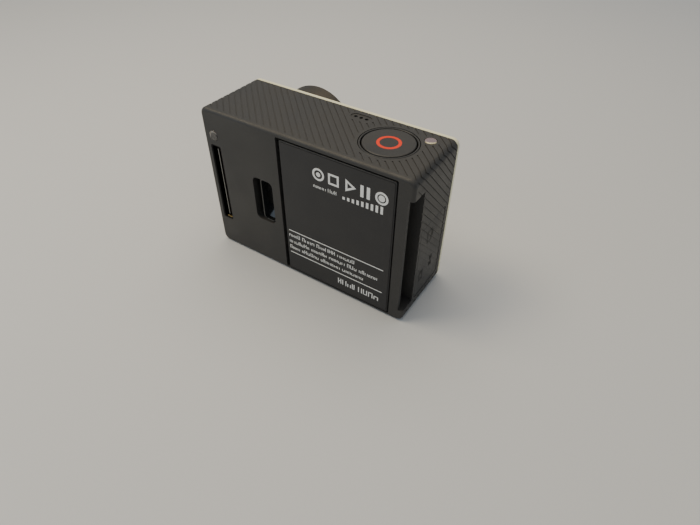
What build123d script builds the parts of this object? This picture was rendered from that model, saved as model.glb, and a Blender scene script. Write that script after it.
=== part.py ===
"""Action camera: a small box camera with a round wide-angle lens, built as separate pieces.

Frame: millimetres. X runs along the width, +X towards the accessory port. Y runs through the
depth, -Y out of the lens. +Z is up. The origin is the middle of the flat base, under the body.
"""

from build123d import *

import os
from math import ceil, cos, pi, sin

# ---- driving dimensions: the body ----
BODY_WIDTH = 59.0
BODY_HEIGHT = 41.0
BODY_DEPTH = 21.0
CORNER_RADIUS = 1.8
REAR_EDGE_RADIUS = 0.85
WALL = 1.6
COVER_THICKNESS = 1.3
COVER_EDGE = 0.45
COVER_TONGUE = 0.6
COVER_TONGUE_WALL = 0.8
SEAM = 0.15

LEFT = BODY_WIDTH / 2
RIGHT = -BODY_WIDTH / 2
TOP = BODY_HEIGHT
REAR = BODY_DEPTH / 2
FRONT = -BODY_DEPTH / 2
CASE_FRONT = FRONT + COVER_THICKNESS
INNER_REAR = REAR - WALL

# ---- battery, its bay and its door ----
BATTERY_WIDTH = 29.1
BATTERY_HEIGHT = 35.0
BATTERY_THICKNESS = 6.1
BATTERY_CLEARANCE = 0.25
PULL_TAB_WIDTH = 9.0
PULL_TAB_LENGTH = 15.0
PULL_TAB_THICKNESS = 0.2
CONTACT_GAP = 1.0
BAY_WALL = 0.7
BAY_FLOOR_CLEARANCE = 0.2
DOOR_THICKNESS = 1.2
DOOR_SEAT_GAP = 0.05
DOOR_LEDGE = 0.45
HOOK_ROOM = 0.95
DOOR_LATCH_GAP = 0.95
DOOR_GAP = 0.15
DOOR_SIDE_GAP = 0.35
DOOR_TOP_GAP = 0.45
DOOR_TOP_MARGIN = 1.0
DOOR_BOTTOM_MARGIN = 0.95
DOOR_CORNER = 0.4
PILLAR_WIDTH = 3.85
DOOR_EDGE = 0.25
LUG_WIDTH = 2.4
LUG_HOOK = 0.35
LUG_THICKNESS = 0.4
LUG_STEM = 0.45
LUG_GAP = 0.05
LABEL_THICKNESS = 0.12
LABEL_MARGIN = 0.32
LABEL_CORNER = 0.25

DOORWAY_RIGHT = RIGHT + PILLAR_WIDTH
BAY_RIGHT = DOORWAY_RIGHT + DOOR_LEDGE
BATTERY_RIGHT = BAY_RIGHT + BATTERY_CLEARANCE
BATTERY_LEFT = BATTERY_RIGHT + BATTERY_WIDTH
BAY_LEFT = BATTERY_LEFT + BATTERY_CLEARANCE + CONTACT_GAP
DOORWAY_LEFT = BAY_LEFT + DOOR_LEDGE + 0.35
DOOR_RIGHT = DOORWAY_RIGHT + DOOR_SIDE_GAP
DOOR_LEFT = DOORWAY_LEFT - DOOR_LATCH_GAP
DOORWAY_TOP = TOP - DOOR_TOP_MARGIN
DOORWAY_BOTTOM = DOOR_BOTTOM_MARGIN
DOOR_TOP = DOORWAY_TOP - DOOR_TOP_GAP
DOOR_BOTTOM = DOORWAY_BOTTOM + DOOR_GAP
DOOR_BACK = REAR - DOOR_THICKNESS
BATTERY_REAR = DOOR_BACK - HOOK_ROOM
BATTERY_FRONT = BATTERY_REAR - BATTERY_THICKNESS
BAY_FLOOR = BATTERY_FRONT - BAY_FLOOR_CLEARANCE
BAY_FRONT = BAY_FLOOR - BAY_WALL
BAY_BOTTOM = WALL + 0.4
BATTERY_BOTTOM = BAY_BOTTOM + BATTERY_CLEARANCE
BATTERY_TOP = BATTERY_BOTTOM + BATTERY_HEIGHT
BAY_TOP = BATTERY_TOP + BATTERY_CLEARANCE
BAY_ROOF = BAY_TOP + BAY_WALL

# ---- accessory groove on the rear right corner ----
GROOVE_DEPTH = 3.4
GROOVE_MARGIN_TOP = 4.9
GROOVE_BOTTOM = 3.6
GROOVE_WIDTH = 4.9
LIP_THICKNESS = 0.9
LIP_SETBACK = 1.3
GROOVE_WALL = 0.7

GROOVE_TOP = TOP - GROOVE_MARGIN_TOP
GROOVE_FRONT = REAR - GROOVE_WIDTH

# ---- lens ----
LENS_FROM_LEFT = 13.9
LENS_FROM_TOP = 14.0
LENS_RADIUS = 11.55
LENS_REACH = 9.0
LENS_EDGE = 0.7
HOOD_RADIUS = 8.7
HOOD_DEPTH = 4.2
CELL_RADIUS = 7.1
CELL_TAIL_RADIUS = 5.9
GLASS_RADIUS = 6.2
REAR_GLASS_RADIUS = 4.4
SPIGOT_RADIUS = 10.6
SPIGOT_LENGTH = 1.3
HOLDER_SIZE = 15.6
LENS_CLEARANCE = 0.1

LENS_X = LEFT - LENS_FROM_LEFT
LENS_Z = TOP - LENS_FROM_TOP
LENS_TIP = FRONT - LENS_REACH

# ---- boards and the plate that carries them ----
BOARD_THICKNESS = 0.8
BOARD_EDGE_GAP = 1.1
BOARD_BOTTOM = 3.0
BOARD_TOP_MARGIN = 8.0
BOARD_STEP_Z = 14.5
BOARD_STEP_GAP = 0.9
PLATE_THICKNESS = 0.5
PLATE_SETBACK = 4.8
SOLDER_GAP = 0.05
CHIP_FROM_STEP = 11.5
CHIP_Z = 21.0
CHIP_SIZE = 11.0
CHIP_THICKNESS = 1.1
CAN_MARGIN = 1.6
CAN_HEIGHT = 1.9
CAN_WALL = 0.2
SCREW_RADIUS = 0.7
SCREW_HEAD_RADIUS = 1.3
SCREW_HEAD = 0.7
STANDOFF_RADIUS = 1.5

BOARD_REAR = BAY_FRONT - 0.5
BOARD_FRONT = BOARD_REAR - BOARD_THICKNESS
PLATE_FRONT = FRONT + PLATE_SETBACK
PLATE_REAR = PLATE_FRONT + PLATE_THICKNESS
BOARD_TOP = TOP - BOARD_TOP_MARGIN
STEP_X = LENS_X - SPIGOT_RADIUS - BOARD_STEP_GAP

# ---- buttons ----
SHUTTER_FROM_RIGHT = 12.4
SHUTTER_FROM_FRONT = 10.3
SHUTTER_RADIUS = 6.05
SHUTTER_FLANGE = 0.38
SHUTTER_GAP = 0.3
BEZEL_WIDTH = 0.44
BEZEL_GAP = 0.14
BEZEL_FLANGE = 0.4
SHUTTER_PROUD = 0.05
SHUTTER_TRAVEL = 0.35
RED_RING_RADIUS = 2.8
RED_RING_WIDTH = 0.7
RING_DEPTH = 0.3
POWER_FROM_LENS = 14.4
POWER_Z = 9.0
POWER_RADIUS = 3.9
POWER_PROUD = 0.15
POWER_TRAVEL = 0.3
POWER_RING_RADIUS = 2.1
WIFI_Z = 9.0
WIFI_RADIUS = 2.6
WIFI_PROUD = 0.05
WIFI_TRAVEL = 0.3
KEY_GAP = 0.15
SWITCH_SIZE = 3.0
SWITCH_BODY = 1.4
PLUNGER_RADIUS = 0.8

SHUTTER_X = RIGHT + SHUTTER_FROM_RIGHT
SHUTTER_Y = FRONT + SHUTTER_FROM_FRONT
SHUTTER_HOLE = SHUTTER_RADIUS + SHUTTER_GAP + BEZEL_WIDTH + BEZEL_GAP
POWER_X = LENS_X - POWER_FROM_LENS
BUTTON_BOARD_Z = TOP - 6.0
BUTTON_BOARD_THICKNESS = 0.6
BUTTON_BOARD_MARGIN = 7.0
LEDGE_WIDTH = 1.8
LEDGE_LENGTH = 5.8
LEDGE_THICKNESS = 0.8
LEDGE_FROM_KEY = 5.0

# ---- windows, lights, sound holes ----
LCD_WIDTH = 16.4
LCD_HEIGHT = 12.0
LCD_FROM_RIGHT = 5.5
LCD_Z = 5.4
LCD_MODULE_THICKNESS = 1.4
WINDOW_THICKNESS = 1.0
WINDOW_GAP = 0.1
TOP_LIGHT_RADIUS = 1.4
TOP_LIGHT_FROM_RIGHT = 5.15
TOP_LIGHT_FROM_FRONT = 4.6
REAR_LIGHT_RADIUS = 1.35
REAR_LIGHT_FROM_LEFT = 3.3
REAR_LIGHT_FROM_TOP = 6.9
FRONT_LIGHT_RADIUS = 0.9
FRONT_LIGHT_FROM_RIGHT = 4.9
FRONT_LIGHT_PITCH = 3.6
FRONT_LIGHT_FROM_TOP = 10.0
LIGHT_GAP = 0.04
TOP_LIGHT_PROUD = 0.12
REAR_LIGHT_PROUD = 0.16
CHIP_LIGHT = 1.6
CHIP_LIGHT_HEIGHT = 0.7
SOUND_HOLE_RADIUS = 0.45
SOUND_HOLE_PITCH = 1.5
SOUND_HOLE_COUNT = 3
SOUND_FROM_FRONT = 3.9
SOUND_FROM_SHUTTER = 9.7
MIC_FROM_LENS = 16.7
MIC_FROM_TOP = 8.0

TOP_LIGHT_X = RIGHT + TOP_LIGHT_FROM_RIGHT
TOP_LIGHT_Y = FRONT + TOP_LIGHT_FROM_FRONT
REAR_LIGHT_X = LEFT - REAR_LIGHT_FROM_LEFT
REAR_LIGHT_Z = TOP - REAR_LIGHT_FROM_TOP
FRONT_LIGHT_Z = TOP - FRONT_LIGHT_FROM_TOP
FRONT_LIGHTS_X = [RIGHT + FRONT_LIGHT_FROM_RIGHT + i * FRONT_LIGHT_PITCH for i in range(2)]
LCD_X = RIGHT + LCD_FROM_RIGHT
SOUND_X = SHUTTER_X + SOUND_FROM_SHUTTER
SOUND_Y = FRONT + SOUND_FROM_FRONT
MIC_X = LENS_X - MIC_FROM_LENS
MIC_Z = TOP - MIC_FROM_TOP

# ---- accessory port and latch pocket on the rear ----
PORT_FROM_LEFT = 1.75
PORT_WIDTH = 3.3
PORT_HEIGHT = 22.8
PORT_Z = 8.7
PORT_DEPTH = 4.2
PORT_SHELL = 0.3
TONGUE_WIDTH = 0.5
TONGUE_SUNK = 0.5
CONTACT_COUNT = 15
POCKET_FROM_LEFT = 14.6
POCKET_WIDTH = 6.2
POCKET_HEIGHT = 12.6
POCKET_Z = 13.9
POCKET_DEPTH = 4.0
POCKET_CORNER = 1.4
POCKET_WALL = 0.8
CUP_WALL = 0.45
CUP_WIDTH = 4.3
CUP_SUNK = 0.6
CUP_EDGE = 0.18

PORT_LEFT = LEFT - PORT_FROM_LEFT
PORT_RIGHT = PORT_LEFT - PORT_WIDTH
POCKET_LEFT = LEFT - POCKET_FROM_LEFT
POCKET_RIGHT = POCKET_LEFT - POCKET_WIDTH

# ---- grip grooves in the top and the sides ----
GRIP_PITCH = 2.05
GRIP_WIDTH = 0.3
GRIP_DEPTH = 0.14
GRIP_REAR_MARGIN = 0.5
GRIP_BOTTOM = 2.0
GRIP_KEEP_OUT = 0.8
SOUND_SLOT_MARGIN = 0.8
SOUND_SLOT_DEPTH = 0.15
GRIP_OUT = 1.0
GRIP_OVERLAP = 0.12
GRIP_SLIVER = 1e-3

GRIP_REAR = REAR - REAR_EDGE_RADIUS - GRIP_REAR_MARGIN
GRIP_MITRE = 1.5 * CORNER_RADIUS
GRIP_HEIGHT = 3 * CORNER_RADIUS
GRIP_REACH = 4 * BODY_DEPTH

# ---- side door and the sockets behind it ----
SIDE_DOOR_SUNK = 0.04
SIDE_DOOR_THICKNESS = 1.0
SIDE_DOOR_SEAT_GAP = 0.05
SIDE_DOOR_GAP = 0.12
SIDE_DOOR_BOTTOM = 3.5
SIDE_DOOR_HEIGHT = 21.3
SIDE_DOOR_FROM_FRONT = 2.9
SIDE_DOOR_FROM_GROOVE = 0.8
SIDE_LEDGE = 0.6
SIDE_DOOR_CORNER = 0.8
PRONG_LENGTH = 1.9
PRONG_THICKNESS = 0.7
HDMI_WIDTH = 6.5
HDMI_THICKNESS = 2.9
HDMI_LENGTH = 7.0
HDMI_Z = 16.2
USB_WIDTH = 7.7
USB_THICKNESS = 3.9
USB_LENGTH = 9.0
USB_Z = 5.5
SOCKET_INSET = 0.3
CARD_WIDTH = 11.0
CARD_LENGTH = 15.0
CARD_THICKNESS = 0.7
CARD_Z = 7.0
CARD_PROUD = 0.3
SLOT_WALL = 0.45
CARD_CLEARANCE = 0.06

SIDE_DOORWAY_TOP = SIDE_DOOR_BOTTOM + SIDE_DOOR_HEIGHT
SIDE_DOORWAY_FRONT = FRONT + SIDE_DOOR_FROM_FRONT
SIDE_DOORWAY_REAR = GROOVE_FRONT - SIDE_DOOR_FROM_GROOVE
SIDE_INNER = RIGHT + WALL


# ---- shape helpers ----
def block(x0, x1, y0, y1, z0, z1):
    """A box from its six faces."""
    middle = Pos((x0 + x1) / 2, (y0 + y1) / 2, (z0 + z1) / 2)
    return middle * Box(x1 - x0, y1 - y0, z1 - z0)


def slab_y(x0, x1, z0, z1, y0, y1, corner):
    """A plate across Y, with rounded corners."""
    face = Plane((0, y0, 0), x_dir=(1, 0, 0), z_dir=(0, -1, 0))
    outline = Pos((x0 + x1) / 2, (z0 + z1) / 2) * RectangleRounded(x1 - x0, z1 - z0, corner)
    return extrude(face * outline, amount=-(y1 - y0))


def slab_x(y0, y1, z0, z1, x0, x1, corner):
    """A plate across X, with rounded corners."""
    face = Plane((x0, 0, 0), x_dir=(0, 1, 0), z_dir=(1, 0, 0))
    outline = Pos((y0 + y1) / 2, (z0 + z1) / 2) * RectangleRounded(y1 - y0, z1 - z0, corner)
    return extrude(face * outline, amount=x1 - x0)


def rod_x(radius, x0, x1, y, z):
    return Pos((x0 + x1) / 2, y, z) * Rot(0, 90, 0) * Cylinder(radius, x1 - x0)


def rod_y(radius, y0, y1, x, z):
    return Pos(x, (y0 + y1) / 2, z) * Rot(90, 0, 0) * Cylinder(radius, y1 - y0)


def rod_z(radius, z0, z1, x, y):
    return Pos(x, y, (z0 + z1) / 2) * Cylinder(radius, z1 - z0)


def turned_on_lens_axis(profile):
    """A turned part on the lens axis, from (radius, y) points."""
    outline = make_face(Polyline(*[(r, y) for r, y in profile], close=True))
    return Pos(LENS_X, 0, LENS_Z) * revolve(outline, axis=Axis.Y)


def ring_profile_z(profile, x, y):
    """A turned part on a vertical axis, from (radius, z) points."""
    outline = Plane.XZ * make_face(Polyline(*[(r, z) for r, z in profile], close=True))
    return Pos(x, y, 0) * revolve(outline, axis=Axis.Z)


def group(solids):
    return Compound(children=list(solids))


def rounded(shape, axis, at, radius):
    """Rounds the edges of the face that lies at a place along an axis."""
    face = [f for f in shape.faces() if f.geom_type == GeomType.PLANE]
    face = sorted(face, key=lambda f: abs(getattr(f.center(), axis) - at) - f.area * 1e-6)[0]
    return fillet(face.outer_wire().edges(), radius)


# ---- screws through the plate, the board and into the case ----
SCREW_PLACES = [
    (RIGHT + 6.0, BOARD_TOP - 2.5),
    (STEP_X - 2.2, BOARD_TOP - 2.2),
    (RIGHT + 19.5, BOARD_BOTTOM + 1.7),
    (LEFT - 5.0, BOARD_BOTTOM + 2.2),
]


def case():
    """Rear case: five walls, the battery bay, the groove, the pocket and the button seats."""
    shell = slab_y(RIGHT, LEFT, 0, TOP, CASE_FRONT, REAR, CORNER_RADIUS)
    shell = rounded(shell, "Y", REAR, REAR_EDGE_RADIUS)
    shell -= grip_top() + grip_right() + grip_left()
    shell -= slab_y(RIGHT + WALL, LEFT - WALL, WALL, TOP - WALL,
                    CASE_FRONT, INNER_REAR, CORNER_RADIUS - WALL + 0.3)
    wall_reach = INNER_REAR + 0.1
    shell += block(BAY_RIGHT - BAY_WALL, BAY_LEFT + BAY_WALL, BAY_FRONT, wall_reach,
                   WALL - 0.1, BAY_ROOF)
    shell += block(RIGHT + WALL - 0.1, RIGHT + GROOVE_DEPTH + GROOVE_WALL,
                   GROOVE_FRONT - GROOVE_WALL, wall_reach,
                   GROOVE_BOTTOM - GROOVE_WALL, GROOVE_TOP + GROOVE_WALL)
    shell += block(POCKET_RIGHT - POCKET_WALL, POCKET_LEFT + POCKET_WALL,
                   REAR - POCKET_DEPTH - POCKET_WALL, wall_reach,
                   POCKET_Z - POCKET_WALL, POCKET_Z + POCKET_HEIGHT + POCKET_WALL)
    shell += case_supports(wall_reach)
    shell -= block(BAY_RIGHT, BAY_LEFT, BAY_FLOOR, REAR, BAY_BOTTOM, BAY_TOP)
    shell -= slab_y(DOORWAY_RIGHT, DOORWAY_LEFT, DOORWAY_BOTTOM, DOORWAY_TOP,
                    DOOR_BACK - DOOR_SEAT_GAP, REAR + 1, DOOR_CORNER)
    shell -= lug_pockets()
    shell -= groove_cut()
    shell -= slab_y(POCKET_RIGHT, POCKET_LEFT, POCKET_Z, POCKET_Z + POCKET_HEIGHT,
                    REAR - POCKET_DEPTH, REAR + 1, POCKET_CORNER)
    shell -= slab_y(PORT_RIGHT, PORT_LEFT, PORT_Z, PORT_Z + PORT_HEIGHT,
                    INNER_REAR - 1, REAR + 1, 0.6)
    shell -= rod_y(REAR_LIGHT_RADIUS + LIGHT_GAP, INNER_REAR - 1, REAR + 1,
                   REAR_LIGHT_X, REAR_LIGHT_Z)
    shell -= top_holes()
    shell -= side_holes()
    for x, z in SCREW_PLACES:
        shell -= rod_y(SCREW_RADIUS, BOARD_REAR - 1, BAY_FLOOR - 0.2, x, z)
    # Where the grooves of two faces cross at a corner a loose crumb can be left over.
    return shell.solids().sort_by(SortBy.VOLUME)[-1]


def case_supports(wall_reach):
    """Bosses for the board screws and ledges under the button board."""
    posts = []
    for x, z in SCREW_PLACES:
        over_bay = BAY_RIGHT < x < BAY_LEFT
        reach = BAY_FRONT + 0.1 if over_bay else wall_reach
        posts.append(rod_y(STANDOFF_RADIUS, BOARD_REAR, reach, x, z))
    low, high = BUTTON_BOARD_Z - LEDGE_THICKNESS, BUTTON_BOARD_Z
    posts.append(block(SIDE_INNER - 0.1, SIDE_INNER + LEDGE_WIDTH,
                       SHUTTER_Y - LEDGE_LENGTH, SHUTTER_Y, low, high))
    posts.append(block(SHUTTER_X + LEDGE_FROM_KEY, SHUTTER_X + LEDGE_FROM_KEY + LEDGE_WIDTH,
                       SHUTTER_Y - LEDGE_LENGTH / 2, wall_reach, low, high))
    return posts


def groove_cut():
    """The accessory groove: open to the side, and to the rear beyond its lip."""
    inside = block(RIGHT - 1, RIGHT + GROOVE_DEPTH, GROOVE_FRONT, REAR - LIP_THICKNESS,
                   GROOVE_BOTTOM, GROOVE_TOP)
    mouth = block(RIGHT - 1, RIGHT + LIP_SETBACK, REAR - LIP_THICKNESS - 0.1, REAR + 1,
                  GROOVE_BOTTOM, GROOVE_TOP)
    return [inside, mouth]


def grip_bands(centre, turn, step, size, count):
    """Parallel slanted bars, one grip pitch apart."""
    bars = []
    for i in range(count):
        place = [c + i * GRIP_PITCH * d for c, d in zip(centre, step)]
        bars.append(Pos(*place) * Rot(*turn) * Box(*size))
    return bars


def grip_cuts(outline, bars, keep_out=()):
    """What slanted bars cut out of the skin inside an outline of (x, z) points."""
    face = Plane.XZ * make_face(Polyline(*outline, close=True))
    zone = Pos(0, GRIP_REAR, 0) * extrude(face, amount=GRIP_REAR - CASE_FRONT + 1)
    zone -= slab_y(RIGHT + GRIP_DEPTH, LEFT - GRIP_DEPTH, -1, TOP - GRIP_DEPTH,
                   CASE_FRONT - 2, REAR + 1, CORNER_RADIUS - GRIP_DEPTH)
    for shape in keep_out:
        zone -= shape
    cuts = [zone & bar for bar in bars]
    return [cut for cut in cuts if cut is not None and cut.volume > GRIP_SLIVER]


def grip_top():
    """The grooves of the top, which stay clear of the key, the light and the sound holes."""
    run_on = GRIP_OVERLAP
    outline = [(RIGHT - GRIP_OUT - run_on, TOP + GRIP_OUT),
               (RIGHT + GRIP_MITRE - run_on, TOP - GRIP_MITRE),
               (LEFT - GRIP_MITRE + run_on, TOP - GRIP_MITRE),
               (LEFT + GRIP_OUT + run_on, TOP + GRIP_OUT)]
    count = int((BODY_WIDTH + BODY_DEPTH) / GRIP_PITCH) + 1
    bars = grip_bands((RIGHT + FRONT, 0, TOP), (0, 0, 45), (1, 0, 0),
                      (GRIP_WIDTH, GRIP_REACH, GRIP_HEIGHT), count)
    keep_out = [
        rod_z(SHUTTER_HOLE + GRIP_KEEP_OUT, TOP - 1, TOP + GRIP_OUT, SHUTTER_X, SHUTTER_Y),
        rod_z(TOP_LIGHT_RADIUS + GRIP_KEEP_OUT, TOP - 1, TOP + GRIP_OUT,
              TOP_LIGHT_X, TOP_LIGHT_Y),
        sound_slot(SOUND_SLOT_MARGIN + GRIP_KEEP_OUT, TOP - 1),
    ]
    return grip_cuts(outline, bars, keep_out)


def grip_right():
    """The grooves of the right side, in step with the top's, which run on over the side door."""
    outline = [(RIGHT - GRIP_OUT, TOP + GRIP_OUT), (RIGHT + GRIP_MITRE, TOP - GRIP_MITRE),
               (RIGHT + GRIP_MITRE, GRIP_BOTTOM), (RIGHT - GRIP_OUT, GRIP_BOTTOM)]
    count = int((BODY_HEIGHT + BODY_DEPTH) / GRIP_PITCH) + 1
    lowest = TOP - FRONT - GRIP_PITCH * (count - 1)
    bars = grip_bands((RIGHT, 0, lowest), (-45, 0, 0), (0, 0, 1),
                      (GRIP_HEIGHT, GRIP_WIDTH, GRIP_REACH), count)
    return grip_cuts(outline, bars)


def grip_left():
    """The grooves of the left side, in step with the top's."""
    outline = [(LEFT + GRIP_OUT, TOP + GRIP_OUT), (LEFT - GRIP_MITRE, TOP - GRIP_MITRE),
               (LEFT - GRIP_MITRE, GRIP_BOTTOM), (LEFT + GRIP_OUT, GRIP_BOTTOM)]
    count = int((BODY_HEIGHT + BODY_DEPTH) / GRIP_PITCH) + 1
    meet = TOP - BODY_WIDTH + FRONT
    lowest = meet + GRIP_PITCH * ceil((GRIP_BOTTOM - REAR - meet) / GRIP_PITCH)
    bars = grip_bands((LEFT, 0, lowest), (45, 0, 0), (0, 0, 1),
                      (GRIP_HEIGHT, GRIP_WIDTH, GRIP_REACH), count)
    keep_out = [rod_x(WIFI_RADIUS + GRIP_KEEP_OUT, LEFT - 1, LEFT + GRIP_OUT, WIFI_Y, WIFI_Z)]
    return grip_cuts(outline, bars, keep_out)


def sound_slot(margin, base):
    """A long round-ended bar over the row of sound holes."""
    length = (SOUND_HOLE_COUNT - 1) * SOUND_HOLE_PITCH + 2 * (SOUND_HOLE_RADIUS + margin)
    middle = SOUND_X + (SOUND_HOLE_COUNT - 1) * SOUND_HOLE_PITCH / 2
    outline = Pos(middle, SOUND_Y, base) * SlotOverall(length, 2 * (SOUND_HOLE_RADIUS + margin))
    return extrude(outline, amount=TOP + 1 - base)


def lug_places():
    """Where the battery door's hooks sit, as (x, z of the hook's root, direction up or down)."""
    span = DOOR_LEFT - DOOR_RIGHT
    across = [DOOR_RIGHT + span * share for share in (0.2, 0.5, 0.8)]
    return [(x, BAY_TOP, 1) for x in across] + [(x, BAY_BOTTOM, -1) for x in across]


def lug_pockets():
    """Undercuts behind the door's ledge that the hooks of the door sit in."""
    pockets = []
    y1 = DOOR_BACK - DOOR_SEAT_GAP - 0.3
    y0 = y1 - LUG_THICKNESS - 2 * LUG_GAP
    for x, z, way in lug_places():
        z0, z1 = sorted((z - way * 0.1, z + way * (LUG_HOOK + LUG_GAP)))
        pockets.append(block(x - LUG_WIDTH / 2 - LUG_GAP, x + LUG_WIDTH / 2 + LUG_GAP,
                             y0, y1, z0, z1))
    return pockets


def top_holes():
    """Shutter seat, status light and sounder holes in the top wall."""
    cuts = [
        rod_z(SHUTTER_HOLE, TOP - WALL - 1, TOP + 1, SHUTTER_X, SHUTTER_Y),
        rod_z(TOP_LIGHT_RADIUS + LIGHT_GAP, TOP - WALL - 1, TOP + 1, TOP_LIGHT_X, TOP_LIGHT_Y),
    ]
    for i in range(SOUND_HOLE_COUNT):
        cuts.append(rod_z(SOUND_HOLE_RADIUS, TOP - WALL - 1, TOP + 1,
                          SOUND_X + i * SOUND_HOLE_PITCH, SOUND_Y))
    cuts.append(sound_slot(SOUND_SLOT_MARGIN, TOP - SOUND_SLOT_DEPTH))
    return cuts


def side_holes():
    """The side doorway with its ledge, and the hole for the wireless key."""
    return [
        slab_x(SIDE_DOORWAY_FRONT, SIDE_DOORWAY_REAR, SIDE_DOOR_BOTTOM, SIDE_DOORWAY_TOP,
               RIGHT - 1, RIGHT + SIDE_DOOR_THICKNESS + SIDE_DOOR_SEAT_GAP, SIDE_DOOR_CORNER),
        block(RIGHT, SIDE_INNER + 0.5, SIDE_DOORWAY_FRONT + SIDE_LEDGE,
              BOARD_FRONT + 0.6, SIDE_DOOR_BOTTOM + SIDE_LEDGE, SIDE_DOORWAY_TOP - SIDE_LEDGE),
        rod_x(WIFI_RADIUS + KEY_GAP, LEFT - WALL - 1, LEFT + 1, WIFI_Y, WIFI_Z),
    ]


def front_cover():
    """Front cover: a plate with a tongue that locates it in the case."""
    plate = slab_y(RIGHT, LEFT, 0, TOP, FRONT, CASE_FRONT - SEAM / 3, CORNER_RADIUS)
    plate = rounded(plate, "Y", FRONT, COVER_EDGE)
    fit = WALL + 0.1
    tongue = slab_y(RIGHT + fit, LEFT - fit, fit, TOP - fit, CASE_FRONT - 0.3,
                    CASE_FRONT + COVER_TONGUE, 0.9)
    inner = fit + COVER_TONGUE_WALL
    tongue -= slab_y(RIGHT + inner, LEFT - inner, inner, TOP - inner, CASE_FRONT - 0.4,
                     CASE_FRONT + COVER_TONGUE + 0.1, 0.4)
    plate += tongue
    through = (FRONT - 1, CASE_FRONT + COVER_TONGUE + 0.2)
    plate -= rod_y(SPIGOT_RADIUS + LENS_CLEARANCE, *through, LENS_X, LENS_Z)
    plate -= rod_y(POWER_RADIUS + KEY_GAP, *through, POWER_X, POWER_Z)
    plate -= slab_y(LCD_X, LCD_X + LCD_WIDTH, LCD_Z, LCD_Z + LCD_HEIGHT, *through, 1.0)
    for x in FRONT_LIGHTS_X:
        plate -= rod_y(FRONT_LIGHT_RADIUS + LIGHT_GAP, *through, x, FRONT_LIGHT_Z)
    for i in range(3):
        plate -= rod_y(SOUND_HOLE_RADIUS, *through, MIC_X + (i - 1) * SOUND_HOLE_PITCH, MIC_Z)
    return plate


# ---- lens assembly ----
HOOD_FLOOR = LENS_TIP + HOOD_DEPTH
CELL_FRONT = HOOD_FLOOR - 1.4
HOLDER_FRONT = FRONT + 4.4
HOLDER_REAR = FRONT + 11.4
SENSOR_BOARD_FRONT = HOLDER_REAR + 0.8
SPIGOT_END = CASE_FRONT + SPIGOT_LENGTH
CELL_REAR = HOLDER_REAR - 2.6


def lens_housing():
    """The barrel that stands out of the front, with its spigot through the cover."""
    r, edge = LENS_RADIUS, LENS_EDGE
    rim = [(r - edge + edge * sin(a), LENS_TIP + edge - edge * cos(a))
           for a in (i * pi / 12 for i in range(7))]
    profile = [(HOOD_RADIUS, HOOD_FLOOR), (HOOD_RADIUS, LENS_TIP + 0.5),
               (r - edge - 0.5, LENS_TIP + 0.5), (r - edge - 0.5, LENS_TIP)]
    profile += rim
    profile += [(r, FRONT - 0.6), (r - 0.3, FRONT - 0.6), (r - 0.3, FRONT),
                (SPIGOT_RADIUS, FRONT), (SPIGOT_RADIUS, SPIGOT_END),
                (CELL_RADIUS + LENS_CLEARANCE, SPIGOT_END),
                (CELL_RADIUS + LENS_CLEARANCE, HOOD_FLOOR)]
    return turned_on_lens_axis(profile)


def lens_trim_ring():
    outer = LENS_RADIUS - LENS_EDGE - 0.55
    return turned_on_lens_axis([(HOOD_RADIUS - 0.5, LENS_TIP + 0.05), (outer, LENS_TIP + 0.05),
                                (outer, LENS_TIP + 0.45), (HOOD_RADIUS - 0.5, LENS_TIP + 0.45)])


def lens_baffle():
    """A stepped cone that keeps stray light out of the hood."""
    steps = 5
    top, bottom = HOOD_RADIUS - 0.8, CELL_RADIUS - 0.55
    y0, y1 = LENS_TIP + 0.5, CELL_FRONT - 0.15
    profile = [(HOOD_RADIUS - 0.05, y0)]
    profile += [(top, y0)]
    for i in range(steps):
        r = top - (top - bottom) * (i + 1) / steps
        profile += [(r + (top - bottom) / steps, y0 + (y1 - y0) * (i + 1) / steps - 0.01),
                    (r, y0 + (y1 - y0) * (i + 1) / steps)]
    profile += [(bottom, y1 + 0.1), (HOOD_RADIUS - 0.05, y1 + 0.1)]
    return turned_on_lens_axis(profile)


def lens_cell():
    """The threaded cell that carries the glass and screws into the holder."""
    r, tail = CELL_RADIUS, CELL_TAIL_RADIUS
    pitch = 0.7
    thread = []
    y = HOLDER_FRONT + 0.4
    while y < CELL_REAR - pitch:
        thread += [(tail, y), (tail - 0.18, y + pitch / 2)]
        y += pitch
    profile = [(GLASS_RADIUS + 0.05, CELL_FRONT), (r, CELL_FRONT), (r, SPIGOT_END + 0.2),
               (tail, SPIGOT_END + 0.2), *thread, (tail, CELL_REAR),
               (REAR_GLASS_RADIUS - 0.4, CELL_REAR),
               (REAR_GLASS_RADIUS - 0.4, CELL_REAR - 0.4),
               (REAR_GLASS_RADIUS + 0.05, CELL_REAR - 0.4),
               (REAR_GLASS_RADIUS + 0.05, GLASS_SEAT), (GLASS_RADIUS + 0.05, GLASS_SEAT)]
    return turned_on_lens_axis(profile)


GLASS_SEAT = CELL_FRONT + 2.2
GLASS_STACK = CELL_REAR - 0.4 - GLASS_SEAT
INNER_GLASS_Y = [GLASS_SEAT + GLASS_STACK * share for share in (0.16, 0.55, 0.82)]
STOP_Y = GLASS_SEAT + GLASS_STACK * 0.38


def spherical_cap(radius, edge_y, bulge, flat_y):
    """Glass with one bulging face and one flat one, from its edge radius and its bulge in Y."""
    sphere = (radius ** 2 + bulge ** 2) / (2 * abs(bulge))
    way = 1 if bulge > 0 else -1
    centre = edge_y + way * (abs(bulge) - sphere)
    steps = 8
    arc = []
    for i in range(steps + 1):
        r = radius * (steps - i) / steps
        arc.append((r, centre + way * (sphere ** 2 - r ** 2) ** 0.5))
    outline = [(0, flat_y), (radius, flat_y)]
    if abs(edge_y - flat_y) > 1e-6:
        outline.append(arc[0])
    return outline + arc[1:]


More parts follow.
